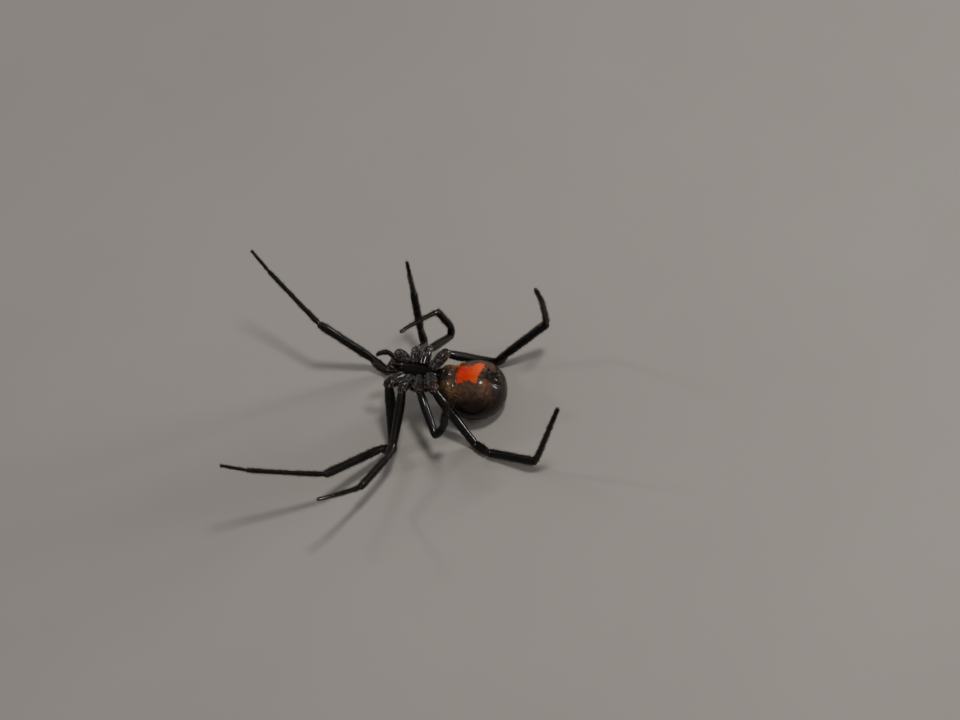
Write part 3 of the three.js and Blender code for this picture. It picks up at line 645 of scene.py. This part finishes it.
def add_leg(name, spec, side, coat):
    hip, knee, shin, ankle, toe, tip = leg_joints(name, spec, side)
    along, aside, height = spec["root"]
    root = body_point(along - COXA["back"], -side * (aside - COXA["sunk"]), height)
    outer = dorsal_at(hip, knee, shin)
    at_shin, at_ankle, at_toe = (
        dorsal_at(*joints) + STRAIGHT_LEAN * outer
        for joints in ((knee, shin, ankle), (shin, ankle, toe), (ankle, toe, tip)))
    to_knee = unit(knee - hip)
    neck = hip + to_knee * TROCHANTER["end"]
    for profile, a, b, radius, dorsal, slot, tone in (
        ("coxa", root, hip, spec["coxa"], bellyward, "shell", HIP_TONE),
        ("trochanter", hip - to_knee * TROCHANTER["start"], neck, spec["coxa"] * TROCHANTER["radius"], outer,
         "leg", HIP_TONE),
        ("femur", neck - to_knee * TROCHANTER["lap"], knee, spec["femur"], outer, "leg", LEG_TONE),
        ("patella", knee, shin, spec["knee"], outer, "leg", LEG_TONE),
        ("tibia", shin, ankle, spec["tibia"], at_shin, "leg", LEG_TONE),
        ("metatarsus", ankle, toe, spec["metatarsus"], at_ankle, "leg", FOOT_TONE),
        ("tarsus", toe, tip, spec["tarsus"], at_toe, "leg", FOOT_TONE),
    ):
        domes, sides, bow, bristly = LEG_LENGTHS[profile]
        # the hips get the pale bristles: partly silk dust, partly a painted glint
        cover = "coxae" if tone is HIP_TONE else coat
        add_length(a, b, profile, radius, dorsal, domes, slot, tone, (cover, *bristly), sides,
                   spec["bow"] if bow is None else bow)
    for joint, (part, share) in zip((knee, shin, ankle, toe), MEMBRANES.items()):
        add_membrane(joint, spec[part] * share)
    add_claws(toe, tip, at_toe)
    if name.endswith("4"):
        add_comb(toe, tip, at_toe, spec["tarsus"], coat)


def add_membrane(centre, radius, sides=16):
    """The soft skin that shows between two lengths."""
    up = np.array([0.0, 0.0, radius * 0.6])
    ring = radius * 0.8 * circle(sides)
    rings = domed(np.array([centre + s * up + ring for s in (-0.2, 0.2)]), radius, radius)
    skin.add(rings, "membrane", rings - centre, mix(BLACK, RED_BROWN, 0.8))


def circle(sides):
    angles = turns_round(sides)
    return np.stack([np.cos(angles), np.sin(angles), 0 * angles], axis=-1)


# Small hard pieces

claws, fangs, eyes = Shells(), Shells(), Shells()
HOOK_POINT = 0.12  # its tip's radius, as a share of its root's
# Hooks: length, radius, turn in degrees and tone
CLAW, MIDDLE_CLAW = (0.24, 0.028, 95, HORN), (0.13, 0.02, 80, HORN)
FEELER_CLAW = (0.16, 0.022, 70, HORN)
FANG = (0.42, 0.07, 80, FANG_RED)
COMB = {"length": 0.26, "width": 0.018, "lift": radians(42), "bend": 0.25}
COMB_SHARES = np.linspace(0.3, 0.95, 10)[:, None]  # of the tarsus' length
COMB_PLACE = 0.985  # on the map, past the tiles


def add_hook(shells, root, out, curl, length, radius, turn, tone, steps=12, sides=10):
    """A curved, tapering hook that starts along out and bends by turn degrees towards curl."""
    out = unit(out)
    curl = square_to(out, curl)
    across = np.cross(out, curl)
    angles = np.radians(turn) * np.linspace(0, 1, steps) ** 1.3
    headings = np.cos(angles)[:, None] * out + np.sin(angles)[:, None] * curl
    middles = root + np.cumsum(headings, axis=0) * length / steps
    inner = np.cos(angles)[:, None] * curl - np.sin(angles)[:, None] * out
    widths = radius * np.linspace(1, HOOK_POINT, steps)
    spread = circle(sides)
    rings = middles[:, None] + widths[:, None, None] * (
        spread[:, 0, None] * across + spread[None, :, 1, None] * inner[:, None])
    shells.add(domed(rings, radius * 0.3, radius * HOOK_POINT, 3), "shell", rings[0, 0], tone)


def add_claws(toe, tip, dorsal):
    along = unit(tip - toe)
    dorsal = square_to(along, dorsal)
    across = np.cross(dorsal, along)
    for side in (1, -1):
        out = along + 0.25 * side * across + 0.3 * dorsal
        add_hook(claws, tip + across * side * 0.045, out, -dorsal, *CLAW)
    add_hook(claws, tip - dorsal * 0.05, along - 0.2 * dorsal, -dorsal, *MIDDLE_CLAW)


def add_comb(toe, tip, dorsal, radius, coat):
    """The row of stout curved bristles under each hind foot."""
    along = unit(tip - toe)
    dorsal = square_to(along, dorsal)
    root = toe + COMB_SHARES * (tip - toe) - dorsal * radius * 0.75
    rest = np.ones_like(COMB_SHARES)
    patch = np.full((len(root), 2), COMB_PLACE)
    coats[coat].add(root, along * rest, -dorsal * rest, patch=patch, **COMB)


# Cephalothorax

# Grooves that spread from the fovea: bearing from straight ahead in degrees, depth, and width in degrees
GROOVES = [(33, 0.07, 5), (66, 0.035, 5), (96, 0.035, 5), (126, 0.035, 5), (154, 0.03, 6)]
GROOVE_START, GROOVE_REACH = 0.3, 1.25
EYES = [
    {"along": 4.2, "aside": 0.14, "radius": 0.085},
    {"along": 4.12, "aside": 0.47, "radius": 0.078},
    {"along": 3.98, "aside": 0.17, "radius": 0.085},
    {"along": 3.87, "aside": 0.5, "radius": 0.078},
]
EYE_SUNK = 0.35  # share of its radius
CARAPACE_ROWS, STERNUM_ROWS = 110, 60
# On a shell: how many bristles, between which rows and shares of the way round, their length and lift
CARAPACE_BRISTLES = (900, (4, 108), (0.5, 1.0), 0.12, 40)
STERNUM_BRISTLES = (420, (2, 58), (0.08, 0.42), 0.15, 45)
MOUTH_TONE = mix(BLACK, RED_BROWN, 0.3)
MOUTH_BRISTLES, ENDITE_BRISTLES = ("body", 90, 0.13, 40, 0.009), ("body", 130, 0.13, 40, 0.009)


def carapace_surface(along, angle):
    """The shell, for a place along it and an angle round it, half a turn and more being the back."""
    half, rim, depth = (through(CARAPACE, along, column) for column in (1, 2, 3))
    aside = soften(np.cos(angle), CARAPACE_CORNERS["aside"]) * half
    up = np.sin(angle)
    x, y = along - FOVEA["at"], np.abs(aside)
    away, bearing = np.hypot(x, y), np.degrees(np.arctan2(y, x))
    relief = FOVEA["depth"] * bump(x, FOVEA["width"]) * bump(y, FOVEA["width"])
    relief = relief + 0.09 * bump(x, 0.13) * bump(y, 0.3)
    fade = (1 - bump(away, GROOVE_START)) * np.exp(-(away / GROOVE_REACH) ** 4)
    for at, deep, width in GROOVES:
        relief = relief + deep * bump(bearing - at, width) * fade
    for eye in EYES:
        relief = relief - 0.045 * bump(np.hypot(along - eye["along"], y - eye["aside"]), 0.12)
    back = (depth - relief) * soften(up, CARAPACE_CORNERS["back"])
    height = rim + np.where(up < 0, back, CARAPACE_UNDERSIDE * up)
    return body_point(along, aside, height)


def add_body_bristles(rings, facing, count, rows, part, length, lift):
    """Bristles on part of a shell. facing is 1 for forward and -1 for backward."""
    row, column = draw.uniform(*rows, count), draw.uniform(*part, count) * BODY_SIDES
    point, along, normal = sample(rings, row, column)
    sizes = length * draw.uniform(0.6, 1.3, count)
    slant = np.radians(lift * draw.uniform(0.7, 1.3, count))
    patch = tile_patch("body", row / len(rings), column / BODY_SIDES)
    coats["body"].add(point, facing * along, normal, sizes, 0.009, slant, 0.15, patch)


def add_carapace():
    alongs = np.linspace(CARAPACE[0, 0], CARAPACE[-1, 0], CARAPACE_ROWS)[:, None]
    rings = carapace_surface(alongs, turns_round(BODY_SIDES)[None, :])
    closed = domed(rings, 0.16, 0.1)
    skin.add(closed, "shell", closed - WAIST, mix(BLACK, RED_BROWN, 0.06))
    add_body_bristles(rings, 1, *CARAPACE_BRISTLES)


def add_sternum():
    low, high, crown = (STERNUM_LEVEL[key] for key in ("low", "high", "crown"))
    alongs = np.linspace(STERNUM[0][0], STERNUM[-1][0], STERNUM_ROWS)[:, None]
    angles = turns_round(BODY_SIDES)[None, :]
    waves = np.cos((alongs - 1.42) / 0.68 * tau)  # the edge's, one at each coxa
    half = through(STERNUM, alongs) * (1 + 0.05 * waves)
    cross, up = soften(np.cos(angles), 0.75), soften(np.sin(angles), 0.55)
    swell = np.where(up > 0, crown * (1 - cross ** 2), 0)
    level = (low + high) / 2 + ((high - low) / 2 + swell) * up
    rings = body_point(alongs, cross * half, level)
    closed = domed(rings, 0.1, 0.06)
    skin.add(closed, "shell", closed - WAIST, BLACK)
    add_body_bristles(rings, -1, *STERNUM_BRISTLES)


def add_mouthparts():
    root, tip = body_point(3.38, 0, 0.26), body_point(3.68, 0, 0.3)
    add_length(root, tip, "patella", 0.25, bellyward, (0.5, 0.5), "shell", MOUTH_TONE, flatten=0.6)
    for side in (1, -1):
        root, tip = (body_point(x, side * y, z) for x, y, z in (ENDITE["root"], ENDITE["tip"]))
        add_length(root, tip, "endite", ENDITE["radius"], bellyward, (0.6, 0.7), "shell",
                   mix(BLACK, RED_BROWN, 0.5), ENDITE_BRISTLES, flatten=0.8)
        root, tip = (body_point(x, side * y, z) for x, y, z in (CHELICERA["root"], CHELICERA["tip"]))
        add_length(root, tip, "chelicera", CHELICERA["radius"], forward, (0.7, 0.45), "shell", MOUTH_TONE,
                   MOUTH_BRISTLES)
        inward = -side * rightward
        add_hook(fangs, tip + inward * 0.02 - forward * 0.05, bellyward + 0.5 * inward,
                 inward - 0.4 * forward, *FANG)
        add_feeler(side)


def add_feeler(side):
    joints = [body_point(x, side * y, z) for x, y, z in FEELER_JOINTS]
    for i, (a, b, radius) in enumerate(zip(joints, joints[1:], FEELER_RADII)):
        last = b is joints[-1]
        outer = dorsal_at(joints[i - 1], a, b) if last else dorsal_at(a, b, joints[i + 2])
        bristly = ("body", 260 if i > 1 else 140, 0.22, 42, 0.009)
        add_length(a, b, "feeler_tip" if last else "feeler", radius, outer, (0.6, 0.5), "leg",
                   mix(BLACK, RED_BROWN, 0.08), bristly, THIN_SIDES)
    add_hook(claws, joints[-1], joints[-1] - joints[-2], -bellyward, *FEELER_CLAW)


def add_eyes():
    step = 0.02
    for eye in EYES:
        half = through(CARAPACE, np.array(eye["along"]))
        share = (eye["aside"] / half) ** (1 / CARAPACE_CORNERS["aside"])
        for turn in (acos(share), pi - acos(share)):
            angle = -turn
            point = carapace_surface(np.array(eye["along"]), np.array(angle))
            ahead = carapace_surface(np.array(eye["along"] + step), np.array(angle)) - point
            aside = carapace_surface(np.array(eye["along"]), np.array(angle + step)) - point
            out = unit(np.cross(ahead, aside))
            out = unit(out * -np.sign(out.dot(bellyward)) + 0.3 * forward)
            add_ball(eyes, point - out * eye["radius"] * EYE_SUNK, eye["radius"], out)


def add_ball(shells, centre, radius, axis, sides=24, rows=16):
    across = unit(np.cross(axis, rightward + 0.1 * forward))
    over = np.cross(axis, across)
    turns = np.linspace(-0.499, 0.499, rows) * pi
    angles = turns_round(sides)
    spread = np.cos(angles)[:, None] * across + np.sin(angles)[:, None] * over
    offsets = np.sin(turns)[:, None, None] * axis + np.cos(turns)[:, None, None] * spread
    shells.add(centre + radius * offsets, "shell", offsets, BLACK)


def add_waist():
    """The short stalk from the abdomen's shoulder to the carapace."""
    start, end = body_point(-0.85, 0, -0.72), body_point(0.8, 0, -0.2)
    add_length(start, end, "stalk", 0.44, bellyward, (0.4, 0.4), "leg", mix(BLACK, RED_BROWN, 0.1))


# Bristles of the abdomen

# Where the pale gold bristles grow. Their colour is a painted glint, for light caught by fine dark hairs.
GLINT_PATCH = {"along": 1.25, "aside": 1.5, "reach": 0.5, "level": 0.6}


def add_abdomen_bristles(rings, coat, count, length, width, chosen=None):
    """Bristles that point to the rear, all over or only where chosen, which reads the abdomen's own frame."""
    row = (np.arcsin(draw.uniform(-0.97, 0.97, count)) / pi + 0.5) * (ABDOMEN_ROWS - 1)
    column = draw.uniform(0, 1, count) * BODY_SIDES
    if chosen:
        likely = chosen((sample(rings, row, column)[0] - ABDOMEN_CENTRE) @ abdomen_axes.T)
        keep = draw.uniform(0, 1, count) < likely
        row, column = row[keep], column[keep]
    point, along, normal = sample(rings, row, column)
    patch = 0.02 + 0.96 * np.stack([row / ABDOMEN_ROWS, column / BODY_SIDES], axis=-1)
    lie = unit(-along + np.cross(normal, along) * draw.normal(0, 0.25, len(row))[:, None])
    sizes, slants = length * draw.uniform(0.6, 1.3, len(row)), 34 * draw.uniform(0.6, 1.4, len(row))
    coats[coat].add(point, lie, normal, sizes, width, np.radians(slants), 0.15, patch)


def glint_corners(p):
    """How likely a glinting bristle, pale gold for a painted glint, is at a place."""
    away = np.hypot(p[:, 0] - GLINT_PATCH["along"], np.abs(p[:, 1]) - GLINT_PATCH["aside"])
    return bump(away, GLINT_PATCH["reach"]) * (p[:, 2] > GLINT_PATCH["level"])


def add_spigots(ends, count=26, length=0.12, width=0.009, lift=radians(18)):
    """The short tubes on each spinneret's end."""
    for tip, out in ends:
        side = unit(np.cross(out, np.array([0.1, 1.0, 0.3])))
        over = np.cross(out, side)
        turn, reach = draw.uniform(0, tau, count), 0.085 * np.sqrt(draw.uniform(0, 1, count))
        root = tip + reach[:, None] * (np.cos(turn)[:, None] * side + np.sin(turn)[:, None] * over)
        aside = unit(root - tip + 0.02 * side)
        patch = np.stack([0.04 + 0 * turn, 0.5 + 0.02 * np.sin(turn)], axis=-1)
        sizes = length * draw.uniform(0.7, 1.3, count)
        coats["abdomen"].add(root, np.tile(out, (count, 1)), aside, sizes, width, lift, 0.0, patch)


# The spider. The order of these calls sets the random draws.

abdomen_rings = add_abdomen()
spigot_ends = add_spinnerets()
add_waist()
add_carapace()
add_sternum()
add_mouthparts()
add_eyes()
for side_name, side_sign in (("left", 1), ("right", -1)):
    for number, pair in enumerate(PAIRS, start=1):
        add_leg(f"{side_name}_{number}", pair, side_sign, side_name)
add_abdomen_bristles(abdomen_rings, "abdomen", count=7500, length=0.13, width=0.0075)
# pale gold bristles on the front flanks: a painted glint
add_abdomen_bristles(abdomen_rings, "glinting", count=11000, length=0.28, width=0.018, chosen=glint_corners)
add_spigots(spigot_ends)


# Materials

def new_material(name):
    material = bpy.data.materials.new(name)
    material.use_nodes = True
    tree = material.node_tree
    tree.nodes.clear()
    output = tree.nodes.new("ShaderNodeOutputMaterial")
    shader = tree.nodes.new("ShaderNodeBsdfPrincipled")
    tree.links.new(shader.outputs["BSDF"], output.inputs["Surface"])
    return material, tree, shader


def put(tree, kind, settings=None, **inputs):
    """A node with its settings, and its inputs set to numbers or linked to other nodes' sockets."""
    node = tree.nodes.new("ShaderNode" + kind)
    for name, value in (settings or {}).items():
        setattr(node, name, value)
    for name, value in inputs.items():
        fill(tree, node.inputs[int(name[1:]) if name[0] == "_" else name], value)
    return node


def fill(tree, socket, value):
    if isinstance(value, bpy.types.NodeSocket):
        tree.links.new(value, socket)
    else:
        socket.default_value = value


def attribute(tree, name, output):
    return put(tree, "Attribute", {"attribute_name": name}).outputs[output]


def position(tree):
    return put(tree, "NewGeometry").outputs["Position"]


def between(tree, value, low, high, to_low=0.0, to_high=1.0, kind="SMOOTHSTEP"):
    """value's way from low to high, turned into one from to_low to to_high."""
    node = put(tree, "MapRange", {"interpolation_type": kind})
    for socket, number in zip(node.inputs, (value, low, high, to_low, to_high)):
        fill(tree, socket, number)
    return node.outputs["Result"]


def evenly(tree, value, low, high, to_low, to_high):
    return between(tree, value, low, high, to_low, to_high, "LINEAR")


def blend_colours(tree, share, a, b):
    node = put(tree, "Mix", {"data_type": "RGBA", "blend_type": "MIX"}, Factor=share, _6=a, _7=b)
    return node.outputs[2]


def noise(tree, place, scale, detail=4.0, rough=0.55):
    node = put(tree, "TexNoise", Vector=place, Scale=scale, Detail=detail, Roughness=rough)
    return node.outputs["Fac"]


def stretched(tree, place, shape):
    return put(tree, "VectorMath", {"operation": "MULTIPLY"}, _0=place, _1=shape).outputs[0]


def scaled(tree, colour, level):
    return put(tree, "VectorMath", {"operation": "SCALE"}, _0=colour, Scale=level).outputs[0]


def pitted(tree, place, scale):
    """Small round pits, as bristle roots leave."""
    cells = put(tree, "TexVoronoi", {"feature": "F1"}, Vector=place, Scale=scale)
    return between(tree, cells.outputs["Distance"], 0.0, 0.35)


def bumps(tree, shader, heights):
    """Stacks bump nodes: pairs of a height and how high it stands, in metres."""
    normal = None
    for height, rise in heights:
        node = put(tree, "Bump", Height=height, Strength=1.0, Distance=rise)
        if normal:
            tree.links.new(normal, node.inputs["Normal"])
        normal = node.outputs["Normal"]
    tree.links.new(normal, shader.inputs["Normal"])


def mottled(tree, place, scale, low, high):
    """The mesh's own tone made lighter and darker in soft spots."""
    spots = noise(tree, place, scale, 5.0, 0.6)
    return scaled(tree, attribute(tree, "tone", "Color"), evenly(tree, spots, 0.3, 0.7, low, high))


CUTICLE_ROUGHNESS = (0.3, 0.45)
CUTICLE_GLOSS = {"Coat Weight": 0.5, "Coat Roughness": 0.05, "Coat IOR": 1.38, "Specular IOR Level": 0.12}


def cuticle(name, grain, shape, pits, heights, spots):
    """Black, hard, shining cuticle. grain is the fine texture's scale and shape its stretch."""
    material, tree, shader = new_material(name)
    place = attribute(tree, "place", "Vector")
    fine = noise(tree, stretched(tree, place, shape), grain)
    fill(tree, shader.inputs["Base Color"], mottled(tree, place, 3.0, *spots))
    fill(tree, shader.inputs["Roughness"], evenly(tree, fine, 0.25, 0.75, *CUTICLE_ROUGHNESS))
    for socket, value in CUTICLE_GLOSS.items():
        shader.inputs[socket].default_value = value
    bumps(tree, shader, [(fine, heights[0]), (pitted(tree, place, pits), heights[1])])
    return material, tree, shader, place


def leg_material():
    return cuticle("leg_cuticle", 16.0, (0.35, 1.0, 1.0), 9.0, (6e-7, 1.5e-6), (0.55, 1.7))[0]


def shell_material():
    return cuticle("shell_cuticle", 20.0, (1.0, 1.0, 1.0), 11.0, (1.2e-6, 3e-6), (0.6, 1.6))[0]


RED_FRONT = (0.8, 0.032, 0.006, 1.0)
RED_REAR = (0.86, 0.105, 0.02, 1.0)
RED_TURNS = (0.2, -1.5)  # places along the abdomen between which the one turns into the other


def abdomen_material():
    material, tree, shader, place = cuticle(
        "abdomen_cuticle", 12.0, (1.0, 1.0, 1.0), 10.0, (1e-6, 2.5e-6), (0.45, 1.8))
    base = shader.inputs["Base Color"].links[0].from_socket
    wobble = evenly(tree, noise(tree, place, 3.0, 5.0), 0.2, 0.8, -0.2, 0.2)
    depth = attribute(tree, "hourglass", "Fac")
    inside = put(tree, "Math", {"operation": "ADD"}, _0=depth, _1=wobble).outputs[0]
    share = between(tree, inside, -0.06, 0.1)
    along = put(tree, "SeparateXYZ", Vector=place).outputs["X"]
    red = blend_colours(tree, between(tree, along, *RED_TURNS), RED_FRONT, RED_REAR)
    red = scaled(tree, red, evenly(tree, noise(tree, place, 9.0, 4.0), 0.3, 0.75, 0.72, 1.12))
    fill(tree, shader.inputs["Base Color"], blend_colours(tree, share, base, red))
    return material


def membrane_material():
    material, tree, shader = new_material("joint_membrane")
    place = attribute(tree, "place", "Vector")
    folds = noise(tree, stretched(tree, place, (3.0, 1.0, 1.0)), 8.0)
    fill(tree, shader.inputs["Base Color"], mottled(tree, place, 6.0, 0.6, 1.6))
    fill(tree, shader.inputs["Roughness"], evenly(tree, folds, 0.3, 0.7, 0.4, 0.6))
    bumps(tree, shader, [(folds, 8e-6)])
    return material


def plain_material(name, colour, roughness, variation=(0.8, 1.25), grain=9000.0, coat=0.0, rise=2e-6):
    """For the small hard pieces, with a fine grain of its own."""
    material, tree, shader = new_material(name)
    spots = noise(tree, position(tree), grain)
    fill(tree, shader.inputs["Base Color"], scaled(tree, colour, evenly(tree, spots, 0.3, 0.7, *variation)))
    fill(tree, shader.inputs["Roughness"], evenly(tree, spots, 0.3, 0.7, *roughness))
    shader.inputs["Coat Weight"].default_value = coat
    bumps(tree, shader, [(spots, rise)])
    return material


bristle = plain_material("bristle", (0.012, 0.008, 0.006), (0.35, 0.5), (0.6, 1.8), 700.0)
down = plain_material("abdomen_bristle", (0.05, 0.03, 0.017), (0.35, 0.5), (0.5, 1.8), 700.0)
# painted glint: the pale gold stands in for light caught by fine dark hairs
glint_gold = plain_material("glinting_bristle", (0.75, 0.5, 0.24), (0.25, 0.4), (0.1, 1.3), 2500.0)
# pale bristles of the coxae and trochanters: partly silk dust, partly a painted glint for light caught by
# their hairs
pale_dust_and_glint = plain_material("coxa_dust_and_glint_bristle", (0.5, 0.45, 0.41), (0.25, 0.4), (0.1, 1.7), 2500.0)
horn = plain_material("horn", (0.03, 0.012, 0.006), (0.18, 0.3), coat=0.3)
eye_glass = plain_material("eye_lens", (0.03, 0.028, 0.03), (0.03, 0.06), coat=1.0, rise=2e-7)


# Pieces

spider = skin.build("skin", [shell_material(), leg_material(), abdomen_material(), membrane_material()])
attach(spider, "root")
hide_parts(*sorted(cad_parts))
for shells, name, material in ((claws, "claws", horn), (fangs, "fangs", horn), (eyes, "eyes", eye_glass)):
    piece = shells.build(name, [material])
    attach(piece, "root")
for label, name, slot, material in (
    ("left", "bristles_left_legs", "leg", bristle),
    ("right", "bristles_right_legs", "leg", bristle),
    ("body", "bristles_body", "shell", bristle),
    ("coxae", "bristles_coxae", "leg", pale_dust_and_glint),
    ("abdomen", "bristles_abdomen", "abdomen", down),
    ("glinting", "bristles_glinting", "abdomen", glint_gold),
):
    piece = coats[label].build(name, material)
    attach(piece, "root")


# Floor, lights and camera

FLOOR_HALF = 0.9
FLOOR_COLOUR = (0.385, 0.352, 0.316)
WARM, COOL = (1.0, 0.98, 0.95), (0.95, 0.97, 1.0)
# Lamps: the way to each, its distance and size in metres, its power, its colour, and the way its length lies
LAMPS = {
    "key": ((0.39, 0.03, 0.92), 0.3, (0.045, 0.045), 0.36, WARM, (0, 1, 0.2)),
    "kicker": ((-0.8, 0.12, 0.6), 0.3, (0.025, 0.025), 0.08, WARM, (0, 1, 0.2)),
    "strip": ((0.88, 0.45, 0.12), 0.3, (0.04, 0.15), 0.8, WARM, (0.4, -0.54, -0.74)),
    "fill": ((-0.9, 0.75, 0.35), 0.5, (0.5, 0.5), 0.25, COOL, (0, 1, 0.2)),
}
# The photo's view. Its camera looked level at a hanging animal, so here it looks down and is rolled.
ELEVATION, AZIMUTH, ROLL = radians(48), radians(35.8), radians(25)
VIEW_POINT = np.array([0.0, 0.0, 3.1])  # on the abdomen
VIEW_POINT_PIXEL = (472.7, 389.3)
PICTURE = (960, 720)
PIXELS_PER_MM = 11.0
LENS, SENSOR = 85.0, 36.0
SUBJECT = (VIEW_POINT - ROW_ORIGIN) * MM


def add_floor():
    material, tree, shader = new_material("pale_floor")
    cloud = evenly(tree, noise(tree, position(tree), 30.0, 3.0), 0.3, 0.7, 0.97, 1.03)
    fill(tree, shader.inputs["Base Color"], scaled(tree, FLOOR_COLOUR, cloud))
    shader.inputs["Roughness"].default_value = 0.85
    mesh = bpy.data.meshes.new("floor")
    corners = [(x * FLOOR_HALF, y * FLOOR_HALF, 0) for x, y in ((-1, -1), (1, -1), (1, 1), (-1, 1))]
    mesh.from_pydata(corners, [], [(0, 1, 2, 3)])
    link("floor", mesh, [material])


def set_axes(thing, place, axes):
    """Stands a thing at a place, with its own x, y and z along the axes."""
    turn = Matrix(np.array(axes).T.tolist())
    thing.matrix_world = Matrix.Translation(Vector(place)) @ turn.to_4x4()


def add_lamp(name, way, distance, size, power, colour, long_way):
    data = bpy.data.lights.new(name, "AREA")
    data.shape = "ELLIPSE"
    data.size, data.size_y = size
    data.energy = power
    data.color = colour
    lamp = bpy.data.objects.new(name, data)
    bpy.context.collection.objects.link(lamp)
    place = SUBJECT + unit(np.array(way, float)) * distance
    back = unit(place - SUBJECT)
    right = unit(np.cross(long_way, back))
    set_axes(lamp, place, [right, np.cross(back, right), back])


def add_camera():
    back = np.array([sin(AZIMUTH) * cos(ELEVATION), -cos(AZIMUTH) * cos(ELEVATION), sin(ELEVATION)])
    level = np.array([cos(AZIMUTH), sin(AZIMUTH), 0.0])
    upright = np.cross(back, level)
    right = cos(ROLL) * level - sin(ROLL) * upright
    up = sin(ROLL) * level + cos(ROLL) * upright
    distance = LENS / SENSOR * PICTURE[0] / PIXELS_PER_MM
    across = (VIEW_POINT_PIXEL[0] - PICTURE[0] / 2) / PIXELS_PER_MM
    down = (VIEW_POINT_PIXEL[1] - PICTURE[1] / 2) / PIXELS_PER_MM
    data = bpy.data.cameras.new("camera")
    data.lens, data.sensor_width = LENS, SENSOR
    data.clip_start, data.clip_end = 0.01, 10.0
    seen = bpy.data.objects.new("camera", data)
    bpy.context.collection.objects.link(seen)
    set_axes(seen, SUBJECT + (back * distance - right * across + up * down) * MM, [right, up, back])
    bpy.context.scene.camera = seen


def add_world():
    sky = bpy.data.worlds.new("studio")
    sky.use_nodes = True
    background = sky.node_tree.nodes["Background"]
    background.inputs["Color"].default_value = (0.93, 0.95, 1.0, 1.0)
    background.inputs["Strength"].default_value = 0.2
    bpy.context.scene.world = sky


add_floor()
add_camera()
add_world()
for lamp_name, lamp_spec in LAMPS.items():
    add_lamp(lamp_name, *lamp_spec)
